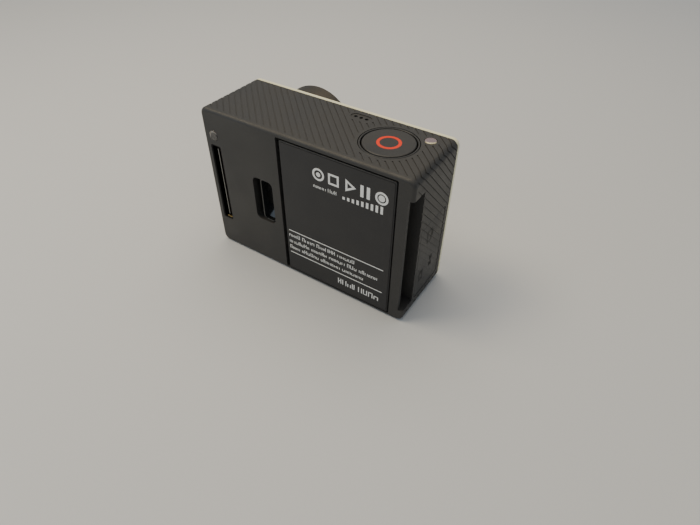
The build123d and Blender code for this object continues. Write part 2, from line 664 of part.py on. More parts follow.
def lens_front_element():
    """Domed front glass."""
    profile = spherical_cap(GLASS_RADIUS, CELL_FRONT + 0.1, -1.3, GLASS_SEAT - 0.02)
    return turned_on_lens_axis(profile)


def lens_inner_elements():
    """Three smaller elements behind the front glass."""
    glass = []
    for y, bulge in zip(INNER_GLASS_Y, (0.6, -0.7, 0.7)):
        thickness = 0.7
        flat = y if bulge > 0 else y + thickness
        edge = y + thickness if bulge > 0 else y
        glass.append(turned_on_lens_axis(spherical_cap(REAR_GLASS_RADIUS, edge, bulge, flat)))
    return group(glass)


def aperture_stop():
    return turned_on_lens_axis([(1.3, STOP_Y), (REAR_GLASS_RADIUS, STOP_Y - 0.05),
                                (REAR_GLASS_RADIUS, STOP_Y + 0.15), (1.3, STOP_Y + 0.1)])


HOLDER_SCREWS = [(LENS_X + sx * (HOLDER_SIZE / 2 - 1.6), LENS_Z + sz * (HOLDER_SIZE / 2 - 1.6))
                 for sx in (-1, 1) for sz in (-1, 1)]


def lens_holder():
    """The square mount that the cell screws into, in front of the sensor."""
    half = HOLDER_SIZE / 2
    body = slab_y(LENS_X - half, LENS_X + half, LENS_Z - half, LENS_Z + half,
                  HOLDER_REAR - 3.0, SENSOR_BOARD_FRONT, 1.5)
    body += rod_y(CELL_RADIUS - 0.1, HOLDER_FRONT, HOLDER_REAR - 2.9, LENS_X, LENS_Z)
    body -= rod_y(CELL_TAIL_RADIUS + 0.03, HOLDER_FRONT - 1, CELL_REAR + 0.1, LENS_X, LENS_Z)
    body -= slab_y(LENS_X - 4.6, LENS_X + 4.6, LENS_Z - 4.2, LENS_Z + 4.2,
                   CELL_REAR, SENSOR_BOARD_FRONT + 1, 0.5)
    for x, z in HOLDER_SCREWS:
        body -= rod_y(SCREW_RADIUS, SENSOR_BOARD_FRONT - 2.2, SENSOR_BOARD_FRONT + 1, x, z)
    return body


def lens_holder_screws():
    y = SENSOR_BOARD_FRONT + BOARD_THICKNESS
    return group(screw_y(x, z, y + SCREW_HEAD, y, SENSOR_BOARD_FRONT - 2.0)
                 for x, z in HOLDER_SCREWS)


def screw_y(x, z, head_end, seat, tip):
    """A cross-head screw along Y, with its head between head_end and seat."""
    low, high = sorted((head_end, seat))
    head = rod_y(SCREW_HEAD_RADIUS, low, high, x, z)
    way = 1 if tip < seat else -1
    cut_y = sorted((head_end, head_end - way * 0.35))
    for w, h in ((1.5, 0.35), (0.35, 1.5)):
        head -= block(x - w / 2, x + w / 2, cut_y[0], cut_y[1], z - h / 2, z + h / 2)
    low, high = sorted((seat, tip))
    return head + rod_y(SCREW_RADIUS - 0.02, low, high, x, z)


def ir_filter():
    return slab_y(LENS_X - 4.4, LENS_X + 4.4, LENS_Z - 4.0, LENS_Z + 4.0,
                  CELL_REAR + 0.3, CELL_REAR + 0.75, 0.3)


def image_sensor():
    package = slab_y(LENS_X - 4.3, LENS_X + 4.3, LENS_Z - 3.9, LENS_Z + 3.9,
                     SENSOR_BOARD_FRONT - 1.3, SENSOR_BOARD_FRONT, 0.2)
    return package - block(LENS_X - 3.1, LENS_X + 3.1, SENSOR_BOARD_FRONT - 2,
                           SENSOR_BOARD_FRONT - 1.1, LENS_Z - 2.3, LENS_Z + 2.3)


def sensor_board():
    half = HOLDER_SIZE / 2 + 0.1
    board = slab_y(LENS_X - half, LENS_X + half, LENS_Z - half, LENS_Z + half,
                   SENSOR_BOARD_FRONT, SENSOR_BOARD_FRONT + BOARD_THICKNESS, 1.0)
    for x, z in HOLDER_SCREWS:
        board -= rod_y(SCREW_RADIUS, SENSOR_BOARD_FRONT - 1, SENSOR_BOARD_FRONT + 2, x, z)
    return board


def ribbon(points, x0, x1, thickness=0.15):
    """A flat flex cable across X, along (y, z) points."""
    strip = Plane.YZ * make_face(trace(Polyline(*points), thickness).wires()[0])
    return Pos(x0, 0, 0) * extrude(strip, amount=x1 - x0)


def sensor_flex():
    rear = SENSOR_BOARD_FRONT + BOARD_THICKNESS + 0.12
    on_board = BOARD_REAR + 0.12
    return ribbon([(on_board, BOARD_STEP_Z - 4), (on_board, BOARD_STEP_Z + 1),
                   (rear, LENS_Z - HOLDER_SIZE / 2 - 1.5), (rear, LENS_Z - 3)],
                  LENS_X - 4, LENS_X + 4)


# ---- boards and the electronics on them ----
def board_outline(y0, y1, edge_gap, top):
    """An L-shaped plate that leaves room for the lens."""
    x0, x1 = RIGHT + WALL + edge_gap, LEFT - WALL - edge_gap
    plate = block(x0, STEP_X, y0, y1, BOARD_BOTTOM, top)
    return plate + block(STEP_X - 0.1, x1, y0, y1, BOARD_BOTTOM, BOARD_STEP_Z)


def main_board():
    board = board_outline(BOARD_FRONT, BOARD_REAR, BOARD_EDGE_GAP, BOARD_TOP)
    for x, z in SCREW_PLACES:
        board -= rod_y(SCREW_RADIUS + 0.1, BOARD_FRONT - 1, BOARD_REAR + 1, x, z)
    return board


def chassis_plate():
    """Aluminium plate with pressed-in standoffs; the boards and the card slot hang on it."""
    plate = board_outline(PLATE_FRONT, PLATE_REAR, BOARD_EDGE_GAP + 0.8, BOARD_TOP)
    for x, z in SCREW_PLACES:
        plate += rod_y(STANDOFF_RADIUS, PLATE_REAR - 0.1, BOARD_FRONT, x, z)
    for x, z in SCREW_PLACES:
        plate -= rod_y(SCREW_RADIUS + 0.05, PLATE_FRONT - 1, BOARD_REAR + 1, x, z)
    return plate


def chassis_screws():
    return group(screw_y(x, z, PLATE_FRONT - SCREW_HEAD, PLATE_FRONT, BAY_FLOOR - 0.3)
                 for x, z in SCREW_PLACES)


CHIP_X = STEP_X - CHIP_FROM_STEP
SOLDER_Y = BOARD_FRONT - SOLDER_GAP


def processor():
    half = CHIP_SIZE / 2
    return block(CHIP_X - half, CHIP_X + half, SOLDER_Y - CHIP_THICKNESS, SOLDER_Y,
                 CHIP_Z - half, CHIP_Z + half)


def shield_can():
    half = CHIP_SIZE / 2 + CAN_MARGIN
    can = slab_y(CHIP_X - half, CHIP_X + half, CHIP_Z - half, CHIP_Z + half,
                 SOLDER_Y - CAN_HEIGHT, SOLDER_Y, 0.6)
    return can - slab_y(CHIP_X - half + CAN_WALL, CHIP_X + half - CAN_WALL,
                        CHIP_Z - half + CAN_WALL, CHIP_Z + half - CAN_WALL,
                        SOLDER_Y - CAN_HEIGHT + CAN_WALL, SOLDER_Y + 1, 0.4)


def thermal_pad():
    half = CHIP_SIZE / 2
    return slab_y(CHIP_X - half, CHIP_X + half, CHIP_Z - half, CHIP_Z + half,
                  PLATE_REAR + 0.02, SOLDER_Y - CAN_HEIGHT - 0.02, 0.5)


def lcd_window():
    gap = WINDOW_GAP
    pane = slab_y(LCD_X + gap, LCD_X + LCD_WIDTH - gap, LCD_Z + gap, LCD_Z + LCD_HEIGHT - gap,
                  FRONT + 0.05, FRONT + 0.05 + WINDOW_THICKNESS, 0.9)
    return pane


LCD_REAR = CASE_FRONT + 0.1 + LCD_MODULE_THICKNESS


def lcd_module():
    margin = 0.4
    return slab_y(LCD_X + margin, LCD_X + LCD_WIDTH - margin, LCD_Z + margin,
                  LCD_Z + LCD_HEIGHT - margin, CASE_FRONT + 0.1, LCD_REAR, 0.3)


def lcd_flex():
    under = BOARD_BOTTOM - 0.55
    middle = LCD_X + LCD_WIDTH / 2
    return ribbon([(LCD_REAR + 0.1, LCD_Z + 1.0), (LCD_REAR + 0.1, under),
                   (SOLDER_Y - 0.1, under), (SOLDER_Y - 0.1, BOARD_BOTTOM + 1.5)],
                  middle - 6.5, middle - 1.5)


# ---- keys ----
CAP_BASE = TOP - WALL - 0.05
KEY_FLANGE = 0.6
SHUTTER_FLANGE_TOP = CAP_BASE
SHUTTER_FLANGE_BASE = SHUTTER_FLANGE_TOP - KEY_FLANGE
SHUTTER_SWITCH_TOP = BUTTON_BOARD_Z + BUTTON_BOARD_THICKNESS + SWITCH_BODY
SHUTTER_PLUNGER_TOP = SHUTTER_SWITCH_TOP + 0.8


def shutter_button():
    """Round key on top, with a shallow dish and a seat for its red ring."""
    r = SHUTTER_RADIUS
    top = TOP + SHUTTER_PROUD
    profile = [(0, SHUTTER_PLUNGER_TOP), (1.3, SHUTTER_PLUNGER_TOP),
               (1.3, SHUTTER_FLANGE_BASE), (r + SHUTTER_FLANGE, SHUTTER_FLANGE_BASE),
               (r + SHUTTER_FLANGE, SHUTTER_FLANGE_TOP), (r, SHUTTER_FLANGE_TOP),
               (r, top - 0.25), (r - 0.08, top - 0.08), (r - 0.25, top),
               (RED_RING_RADIUS, top - 0.08), (RED_RING_RADIUS, top - 0.08 - RING_DEPTH),
               (RED_RING_RADIUS - RED_RING_WIDTH, top - 0.08 - RING_DEPTH),
               (RED_RING_RADIUS - RED_RING_WIDTH, top - 0.1), (0, top - 0.1)]
    return ring_profile_z(profile, SHUTTER_X, SHUTTER_Y)


def shutter_ring():
    top = TOP + SHUTTER_PROUD - 0.08
    inner = RED_RING_RADIUS - RED_RING_WIDTH
    return ring_profile_z([(inner, top - RING_DEPTH), (RED_RING_RADIUS, top - RING_DEPTH),
                           (RED_RING_RADIUS, top), (inner, top)], SHUTTER_X, SHUTTER_Y)


def shutter_bezel():
    """Thin ring round the key, held under the top wall by its own flange."""
    inner = SHUTTER_RADIUS + SHUTTER_GAP
    outer = inner + BEZEL_WIDTH
    clear = SHUTTER_RADIUS + SHUTTER_FLANGE + 0.1
    under = TOP - WALL - 0.02
    return ring_profile_z([(inner, under + 0.05), (inner, TOP - 0.1), (inner + 0.1, TOP),
                           (outer - 0.1, TOP), (outer, TOP - 0.1), (outer, under),
                           (outer + BEZEL_FLANGE, under), (outer + BEZEL_FLANGE, under - 0.45),
                           (clear, under - 0.45), (clear, under + 0.05)],
                          SHUTTER_X, SHUTTER_Y)


def shutter_plunger():
    low = SHUTTER_SWITCH_TOP - SWITCH_BODY * 0.5
    return rod_z(PLUNGER_RADIUS, low, SHUTTER_PLUNGER_TOP, SHUTTER_X, SHUTTER_Y)


def shutter_switch():
    half = SWITCH_SIZE / 2
    body = block(SHUTTER_X - half, SHUTTER_X + half, SHUTTER_Y - half, SHUTTER_Y + half,
                 BUTTON_BOARD_Z + BUTTON_BOARD_THICKNESS, SHUTTER_SWITCH_TOP)
    return body - rod_z(PLUNGER_RADIUS + 0.05, BUTTON_BOARD_Z + BUTTON_BOARD_THICKNESS + 0.2,
                        SHUTTER_SWITCH_TOP + 1, SHUTTER_X, SHUTTER_Y)


def button_board():
    return block(SIDE_INNER + 0.4, SHUTTER_X + BUTTON_BOARD_MARGIN, SOUND_Y - 0.6,
                 BAY_FRONT - 0.6,
                 BUTTON_BOARD_Z, BUTTON_BOARD_Z + BUTTON_BOARD_THICKNESS)


POWER_FLANGE_FRONT = CASE_FRONT + 0.1
POWER_PLUNGER_FRONT = PLATE_FRONT - SWITCH_BODY - 0.7


def power_button():
    r = POWER_RADIUS
    key = rod_y(r, FRONT - POWER_PROUD, POWER_FLANGE_FRONT + 0.1, POWER_X, POWER_Z)
    key = rounded(key, "Y", FRONT - POWER_PROUD, 0.2)
    key += rod_y(r + 0.6, POWER_FLANGE_FRONT, POWER_FLANGE_FRONT + 0.5, POWER_X, POWER_Z)
    key += rod_y(1.0, POWER_FLANGE_FRONT + 0.4, POWER_PLUNGER_FRONT, POWER_X, POWER_Z)
    return key - power_ring_body()


def power_ring_body():
    y0 = FRONT - POWER_PROUD
    ring = rod_y(POWER_RING_RADIUS, y0, y0 + RING_DEPTH, POWER_X, POWER_Z)
    return ring - rod_y(POWER_RING_RADIUS - 0.5, y0 - 1, y0 + 1, POWER_X, POWER_Z)


def power_plunger():
    return rod_y(PLUNGER_RADIUS, POWER_PLUNGER_FRONT, PLATE_FRONT - SWITCH_BODY * 0.5,
                 POWER_X, POWER_Z)


def power_switch():
    half = SWITCH_SIZE / 2
    body = block(POWER_X - half, POWER_X + half, PLATE_FRONT - SWITCH_BODY, PLATE_FRONT,
                 POWER_Z - half, POWER_Z + half)
    return body - rod_y(PLUNGER_RADIUS + 0.05, PLATE_FRONT - SWITCH_BODY - 1,
                        PLATE_FRONT - 0.2, POWER_X, POWER_Z)


WIFI_Y = BOARD_FRONT - 0.05 - SWITCH_SIZE / 2
WIFI_FLANGE = LEFT - WALL - 0.1
WIFI_SWITCH_FACE = WIFI_FLANGE - 1.4
WIFI_PLUNGER_END = WIFI_SWITCH_FACE + 0.6


def wifi_button():
    key = rod_x(WIFI_RADIUS, WIFI_FLANGE - 0.1, LEFT + WIFI_PROUD, WIFI_Y, WIFI_Z)
    key = rounded(key, "X", LEFT + WIFI_PROUD, 0.2)
    key += rod_x(WIFI_RADIUS + 0.5, WIFI_FLANGE - 0.6, WIFI_FLANGE, WIFI_Y, WIFI_Z)
    return key + rod_x(0.9, WIFI_PLUNGER_END, WIFI_FLANGE - 0.5, WIFI_Y, WIFI_Z)


def wifi_plunger():
    return rod_x(PLUNGER_RADIUS, WIFI_SWITCH_FACE - SWITCH_BODY * 0.5, WIFI_PLUNGER_END,
                 WIFI_Y, WIFI_Z)


def wifi_switch():
    half = SWITCH_SIZE / 2
    body = block(WIFI_SWITCH_FACE - SWITCH_BODY, WIFI_SWITCH_FACE, WIFI_Y - half, WIFI_Y + half,
                 WIFI_Z - half, WIFI_Z + half)
    return body - rod_x(PLUNGER_RADIUS + 0.05, WIFI_SWITCH_FACE - SWITCH_BODY + 0.2,
                        WIFI_SWITCH_FACE + 1, WIFI_Y, WIFI_Z)


# ---- lights and sound ----
def top_light_guide():
    end = TOP + TOP_LIGHT_PROUD
    guide = rod_z(TOP_LIGHT_RADIUS, BUTTON_BOARD_Z + BUTTON_BOARD_THICKNESS + 1.0, end,
                  TOP_LIGHT_X, TOP_LIGHT_Y)
    return rounded(guide, "Z", end, 0.35)


def rear_light_guide():
    end = REAR + REAR_LIGHT_PROUD
    guide = rod_y(REAR_LIGHT_RADIUS, INNER_REAR - 1.6, end, REAR_LIGHT_X, REAR_LIGHT_Z)
    return rounded(guide, "Y", end, 0.3)


def front_light_guides():
    return group(rod_y(FRONT_LIGHT_RADIUS, FRONT - 0.05, CASE_FRONT + 1.0, x, FRONT_LIGHT_Z)
                 for x in FRONT_LIGHTS_X)


LIGHT_BOARD_FRONT = CASE_FRONT + 1.8


def front_light_board():
    """Small board behind the front status lights, on a foam spacer against the plate."""
    x0, x1 = FRONT_LIGHTS_X[0] - 1.4, FRONT_LIGHTS_X[-1] + 1.4
    board = block(x0, x1, LIGHT_BOARD_FRONT, LIGHT_BOARD_FRONT + 0.5,
                  FRONT_LIGHT_Z - 1.5, FRONT_LIGHT_Z + 1.5)
    foam = block(FRONT_LIGHTS_X[-1], x1, LIGHT_BOARD_FRONT + 0.5, PLATE_FRONT,
                 FRONT_LIGHT_Z - 1.2, FRONT_LIGHT_Z + 1.2)
    return board + foam


def light_chips():
    """The emitters under each light guide."""
    half = CHIP_LIGHT / 2
    base = BUTTON_BOARD_Z + BUTTON_BOARD_THICKNESS
    chips = [block(TOP_LIGHT_X - half, TOP_LIGHT_X + half, TOP_LIGHT_Y - half,
                   TOP_LIGHT_Y + half, base, base + CHIP_LIGHT_HEIGHT)]
    chips.append(block(REAR_LIGHT_X - half, REAR_LIGHT_X + half,
                       INNER_REAR - 1.7 - CHIP_LIGHT_HEIGHT, INNER_REAR - 1.7,
                       REAR_LIGHT_Z - half, REAR_LIGHT_Z + half))
    chips += [block(x - half, x + half, LIGHT_BOARD_FRONT - CHIP_LIGHT_HEIGHT,
                    LIGHT_BOARD_FRONT, FRONT_LIGHT_Z - half, FRONT_LIGHT_Z + half)
              for x in FRONT_LIGHTS_X]
    return group(chips)


def buzzer():
    """Sounder under its holes, with a foam gasket up to the top wall."""
    x0 = SOUND_X - 2.0
    x1 = SOUND_X + (SOUND_HOLE_COUNT - 1) * SOUND_HOLE_PITCH + 2.2
    body = block(x0, x1, SOUND_Y - 0.6, SOUND_Y + 2.6, TOP - WALL - 3.6, TOP - WALL - 0.5)
    lip = block(x0, x1, SOUND_Y - 0.6, SOUND_Y + 2.6, TOP - WALL - 0.5, TOP - WALL)
    lip -= block(x0 + 0.8, x1 - 0.8, SOUND_Y - 0.5 - SOUND_HOLE_RADIUS + 0.4,
                 SOUND_Y + SOUND_HOLE_RADIUS + 0.4, TOP - WALL - 1, TOP)
    return body + lip


def microphone():
    return slab_y(MIC_X - 2.2, MIC_X + 2.2, MIC_Z - 1.3, MIC_Z + 1.3, CASE_FRONT,
                  CASE_FRONT + 1.1, 0.3)


# ---- battery, its contacts and its door ----
PAD_PLACES = [BATTERY_TOP - 3.0 - i * 2.4 for i in range(3)]
PAD_DEPTH = 0.15
PAD_Y = (BATTERY_FRONT + BATTERY_REAR) / 2


def battery_pad(z, x0, x1):
    return block(x0, x1, PAD_Y - 1.6, PAD_Y + 1.6, z - 0.8, z + 0.8)


def battery():
    pack = block(BATTERY_RIGHT, BATTERY_LEFT, BATTERY_FRONT, BATTERY_REAR,
                 BATTERY_BOTTOM, BATTERY_TOP)
    pack = fillet(pack.edges().filter_by(Axis.Z), 1.6)
    for z in PAD_PLACES:
        pack -= battery_pad(z, BATTERY_LEFT - PAD_DEPTH, BATTERY_LEFT + 1)
    return pack


def battery_contact_pads():
    return group(battery_pad(z, BATTERY_LEFT - PAD_DEPTH, BATTERY_LEFT) for z in PAD_PLACES)


def battery_pull_tab():
    """Thin tab stuck to the back of the battery, with a free end to pull."""
    middle = (BATTERY_LEFT + BATTERY_RIGHT) / 2
    half = PULL_TAB_WIDTH / 2
    top = BATTERY_BOTTOM + PULL_TAB_LENGTH
    return slab_y(middle - half, middle + half, BATTERY_BOTTOM + 1.0, top,
                  BATTERY_REAR, BATTERY_REAR + PULL_TAB_THICKNESS, half * 0.6)


def battery_spring_contacts():
    """Contact block on the bay's wall with three sprung pins."""
    face = BAY_LEFT - CONTACT_GAP * 0.55
    block_body = block(face, BAY_LEFT, PAD_Y - 2.2, PAD_Y + 1.9, PAD_PLACES[-1] - 1.5,
                       PAD_PLACES[0] + 1.5)
    for z in PAD_PLACES:
        block_body += rod_x(0.45, BATTERY_LEFT + 0.03, face + 0.1, PAD_Y, z)
    return block_body


def battery_door():
    """Rear door over the battery, flush with the case."""
    door = slab_y(DOOR_RIGHT, DOOR_LEFT, DOOR_BOTTOM, DOOR_TOP, DOOR_BACK, REAR, DOOR_CORNER)
    return rounded(door, "Y", REAR, DOOR_EDGE)


def battery_door_label():
    m = LABEL_MARGIN
    return slab_y(DOOR_RIGHT + m, DOOR_LEFT - m, DOOR_BOTTOM + m, DOOR_TOP - m,
                  REAR, REAR + LABEL_THICKNESS, LABEL_CORNER)


def battery_door_hooks():
    """Hooks on the inside of the door that snap behind the case's ledge."""
    hooks = []
    y1 = DOOR_BACK - DOOR_SEAT_GAP - 0.3 - LUG_GAP
    y0 = y1 - LUG_THICKNESS
    for x, z, way in lug_places():
        root = z - way * LUG_GAP
        stem_z = sorted((root, root - way * LUG_STEM))
        hook_z = sorted((root - way * 0.01, z + way * LUG_HOOK))
        half = LUG_WIDTH / 2
        stem = block(x - half, x + half, y0, DOOR_BACK, *stem_z)
        hooks.append(stem + block(x - half, x + half, y0, y1, *hook_z))
    return group(hooks)


# ---- side door, sockets and card ----
def side_door():
    """Side cover with two straight prongs that hold it by friction."""
    gap = SIDE_DOOR_GAP
    door = slab_x(SIDE_DOORWAY_FRONT + gap, SIDE_DOORWAY_REAR - gap,
                  SIDE_DOOR_BOTTOM + gap, SIDE_DOORWAY_TOP - gap,
                  RIGHT + SIDE_DOOR_SUNK, RIGHT + SIDE_DOOR_THICKNESS, SIDE_DOOR_CORNER - gap)
    door = rounded(door, "X", RIGHT + SIDE_DOOR_SUNK, 0.2)
    door -= grip_right()
    inner = RIGHT + SIDE_DOOR_THICKNESS
    y0 = SIDE_DOORWAY_FRONT + SIDE_LEDGE + 0.06
    for z in (SIDE_DOOR_BOTTOM + SIDE_LEDGE + 0.06,
              SIDE_DOORWAY_TOP - SIDE_LEDGE - 0.06 - PRONG_THICKNESS):
        door += block(inner - 0.1, inner + PRONG_LENGTH, y0 + 2.2, y0 + 5.6,
                      z, z + PRONG_THICKNESS)
    return door


SOCKET_X = SIDE_INNER + SOCKET_INSET


def socket(z, width, thickness, length, mouth_wall, tongue):
    """A metal-shelled socket on the board's front, with its mouth towards the side door."""
    y0, y1 = SOLDER_Y - thickness, SOLDER_Y
    shell = slab_x(y0, y1, z, z + width, SOCKET_X, SOCKET_X + length, 0.5)
    shell -= slab_x(y0 + mouth_wall, y1 - mouth_wall, z + mouth_wall, z + width - mouth_wall,
                    SOCKET_X - 1, SOCKET_X + length - 1.0, 0.35)
    middle = (y0 + y1) / 2
    shell += block(SOCKET_X + 0.6, SOCKET_X + length - 0.9, middle - tongue / 2,
                   middle + tongue / 2, z + width * 0.2, z + width * 0.8)
    return shell


def hdmi_socket():
    return socket(HDMI_Z, HDMI_WIDTH, HDMI_THICKNESS, HDMI_LENGTH, 0.3, 0.6)


def usb_socket():
    return socket(USB_Z, USB_WIDTH, USB_THICKNESS, USB_LENGTH, 0.35, 0.8)


CARD_REAR = PLATE_FRONT - SLOT_WALL - CARD_CLEARANCE
CARD_FRONT = CARD_REAR - CARD_THICKNESS
CARD_X = SOCKET_X - CARD_PROUD


def memory_card_slot():
    wall, clear = SLOT_WALL, CARD_CLEARANCE
    y0, y1 = CARD_FRONT - clear - wall + 0.1, PLATE_FRONT
    x1 = CARD_X + CARD_LENGTH + clear
    shell = block(SOCKET_X, x1 + wall, y0, y1, CARD_Z - clear - wall,
                  CARD_Z + CARD_WIDTH + clear + wall)
    return shell - block(SOCKET_X - 1, x1, CARD_FRONT - clear, CARD_REAR + clear,
                         CARD_Z - clear, CARD_Z + CARD_WIDTH + clear)


def memory_card():
    card = block(CARD_X, CARD_X + CARD_LENGTH, CARD_FRONT, CARD_REAR, CARD_Z, CARD_Z + CARD_WIDTH)
    notch = block(CARD_X + CARD_LENGTH - 6.0, CARD_X + CARD_LENGTH + 1, CARD_FRONT - 1,
                  CARD_REAR + 1, CARD_Z + CARD_WIDTH - 1.3, CARD_Z + CARD_WIDTH + 1)
    return fillet((card - notch).edges().filter_by(Axis.Y), 0.35)


# ---- accessory port and latch ----
def expansion_connector():
    """Metal-lined slot with a central tongue."""
    gap = 0.05
    y1 = REAR - 0.15
    y0 = y1 - PORT_DEPTH
    x0, x1 = PORT_RIGHT + gap, PORT_LEFT - gap
    z0, z1 = PORT_Z + gap, PORT_Z + PORT_HEIGHT - gap
    shell = slab_y(x0, x1, z0, z1, y0, y1, 0.55)
    wall = PORT_SHELL
    shell -= slab_y(x0 + wall, x1 - wall, z0 + wall, z1 - wall, y0 + 0.8, y1 + 1, 0.3)
    middle = (x0 + x1) / 2
    shell += block(middle - TONGUE_WIDTH / 2, middle + TONGUE_WIDTH / 2, y0 + 0.7,
                   y1 - TONGUE_SUNK, z0 + 1.0, z1 - 1.0)
    return shell


def expansion_contacts():
    middle = (PORT_LEFT + PORT_RIGHT) / 2
    pitch = (PORT_HEIGHT - 4.0) / (CONTACT_COUNT - 1)
    y1 = REAR - 0.15 - 0.9
    y0 = REAR - 0.15 - PORT_DEPTH + 0.8
    strips = []
    for i in range(CONTACT_COUNT):
        z = PORT_Z + 2.0 + i * pitch
        for side in (-1, 1):
            face = middle + side * TONGUE_WIDTH / 2
            x0, x1 = sorted((face, face + side * 0.1))
            strips.append(block(x0, x1, y0, y1, z - 0.3, z + 0.3))
    return group(strips)


def latch_cup():
    """Glossy cup in the rear pocket that an accessory's latch drops into."""
    gap = 0.12
    x0 = POCKET_RIGHT + gap
    x1 = x0 + CUP_WIDTH
    z0, z1 = POCKET_Z + gap, POCKET_Z + POCKET_HEIGHT - gap
    y1 = REAR - CUP_SUNK
    y0 = REAR - POCKET_DEPTH
    cup = slab_y(x0, x1, z0, z1, y0, y1, 1.1)
    cup -= slab_y(x0 + CUP_WALL, x1 - CUP_WALL, z0 + CUP_WALL, z1 - CUP_WALL, y0 + 0.7, y1 + 1,
                  0.7)
    cup = rounded(cup, "Y", y1, CUP_EDGE)
    ramp = Plane.YZ * make_face(Polyline((y0 + 0.6, z0 + 0.3), (y0 + 0.6, z0 + 3.4),
                                         (y1 - 0.9, z0 + 0.3), close=True))
    return cup + Pos(x0 + 0.3, 0, 0) * extrude(ramp, amount=x1 - x0 - 0.6)


NODES = {
    "rear_case": case,
    "front_cover": front_cover,
    "lens_housing": lens_housing,
    "lens_trim_ring": lens_trim_ring,
    "lens_baffle": lens_baffle,
    "lens_front_element": lens_front_element,
    "lens_cell": lens_cell,
    "lens_inner_elements": lens_inner_elements,
    "aperture_stop": aperture_stop,
    "lens_holder": lens_holder,
    "lens_holder_screws": lens_holder_screws,
    "ir_filter": ir_filter,
    "image_sensor": image_sensor,
    "sensor_board": sensor_board,
    "sensor_flex": sensor_flex,
    "chassis_plate": chassis_plate,
    "chassis_screws": chassis_screws,
    "main_board": main_board,
    "processor": processor,
    "shield_can": shield_can,
    "thermal_pad": thermal_pad,
    "lcd_window": lcd_window,
    "lcd_module": lcd_module,
    "lcd_flex": lcd_flex,
    "power_button": power_button,
    "power_button_ring": power_ring_body,
    "power_plunger": power_plunger,
    "power_switch": power_switch,
    "shutter_button": shutter_button,
    "shutter_ring": shutter_ring,
    "shutter_bezel": shutter_bezel,
    "shutter_plunger": shutter_plunger,
    "shutter_switch": shutter_switch,
    "button_board": button_board,
    "top_light_guide": top_light_guide,
    "rear_light_guide": rear_light_guide,
    "front_light_guides": front_light_guides,
    "front_light_board": front_light_board,
    "light_chips": light_chips,
    "wifi_button": wifi_button,
    "wifi_plunger": wifi_plunger,
    "wifi_switch": wifi_switch,
    "buzzer": buzzer,
    "microphone": microphone,
    "battery": battery,
    "battery_contact_pads": battery_contact_pads,
    "battery_pull_tab": battery_pull_tab,
    "battery_spring_contacts": battery_spring_contacts,
    "battery_door": battery_door,
    "battery_door_label": battery_door_label,
    "battery_door_hooks": battery_door_hooks,
    "side_door": side_door,
    "hdmi_socket": hdmi_socket,
    "usb_socket": usb_socket,
    "memory_card_slot": memory_card_slot,
    "memory_card": memory_card,
    "expansion_connector": expansion_connector,
    "expansion_contacts": expansion_contacts,
    "latch_cup": latch_cup,
}


def main():
    os.makedirs("parts", exist_ok=True)
    for name, make in NODES.items():
        export_step(make(), f"parts/{name}.step")


main()
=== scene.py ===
import math
import random

import bpy
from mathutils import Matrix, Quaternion, Vector


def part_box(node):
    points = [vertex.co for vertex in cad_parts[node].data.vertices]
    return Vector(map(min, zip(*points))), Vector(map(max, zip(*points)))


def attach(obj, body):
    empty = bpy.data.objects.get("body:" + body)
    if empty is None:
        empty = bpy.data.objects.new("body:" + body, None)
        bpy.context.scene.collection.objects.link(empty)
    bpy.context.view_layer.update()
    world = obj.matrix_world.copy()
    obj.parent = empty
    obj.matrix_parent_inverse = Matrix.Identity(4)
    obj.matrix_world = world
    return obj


bl_info = {
    "name": "Action Camera Looks",
    "version": (1, 0, 0),
    "blender": (4, 5, 0),
    "location": "View3D > Sidebar > Action Camera",
    "description": "Finishes, printed marks, small parts and a studio for a box action camera",
    "category": "Object",
}

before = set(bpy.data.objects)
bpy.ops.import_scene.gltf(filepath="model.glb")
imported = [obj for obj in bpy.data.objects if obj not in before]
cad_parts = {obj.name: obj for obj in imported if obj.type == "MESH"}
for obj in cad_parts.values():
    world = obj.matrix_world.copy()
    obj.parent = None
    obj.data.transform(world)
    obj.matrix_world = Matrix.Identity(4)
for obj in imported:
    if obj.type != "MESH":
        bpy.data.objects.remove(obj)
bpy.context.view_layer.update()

MM = 0.001
BODY = "camera_body"
REAR_DOOR = "rear_door"
PORT_DOOR = "port_door"
BATTERY = "battery_pack"

RIGHT_ANGLE = math.radians(90)


def corners(node):
    """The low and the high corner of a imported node."""
    return tuple(Vector(corner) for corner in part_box(node))


CASE_LOW = corners("rear_case")[0]
LABEL_LOW, LABEL_HIGH = corners("battery_door_label")
COVER_LOW = corners("front_cover")[0]


# ---------------------------------------------------------------- settings

class FinishSettings(bpy.types.PropertyGroup):
    """Colours of the finishes that a user would change."""

    case_colour: bpy.props.FloatVectorProperty(
        name="Case", description="Moulded plastic of the case, the keys and the doors",
        subtype="COLOR", size=3, min=0, max=1, default=(0.0315, 0.0305, 0.0295))
    door_colour: bpy.props.FloatVectorProperty(
        name="Doors", description="Moulded plastic of the rear door",
        subtype="COLOR", size=3, min=0, max=1, default=(0.022, 0.022, 0.023))
    label_colour: bpy.props.FloatVectorProperty(
        name="Label", description="Printed film on the rear door",
        subtype="COLOR", size=3, min=0, max=1, default=(0.020, 0.020, 0.022))
    cover_colour: bpy.props.FloatVectorProperty(
        name="Front cover", description="Satin paint of the front cover",
        subtype="COLOR", size=3, min=0, max=1, default=(0.90, 0.87, 0.62))
    ring_colour: bpy.props.FloatVectorProperty(
        name="Key rings", description="Coloured rings of the two main keys",
        subtype="COLOR", size=3, min=0, max=1, default=(0.84, 0.050, 0.016))
    ink_colour: bpy.props.FloatVectorProperty(
        name="Ink", description="Screen-printed ink of the label",
        subtype="COLOR", size=3, min=0, max=1, default=(0.94, 0.94, 0.92))
    grain_size: bpy.props.FloatProperty(
        name="Grain", description="Size of the spark-eroded grain of the moulded plastic",
        unit="LENGTH", subtype="DISTANCE", precision=5, default=0.16 * MM)


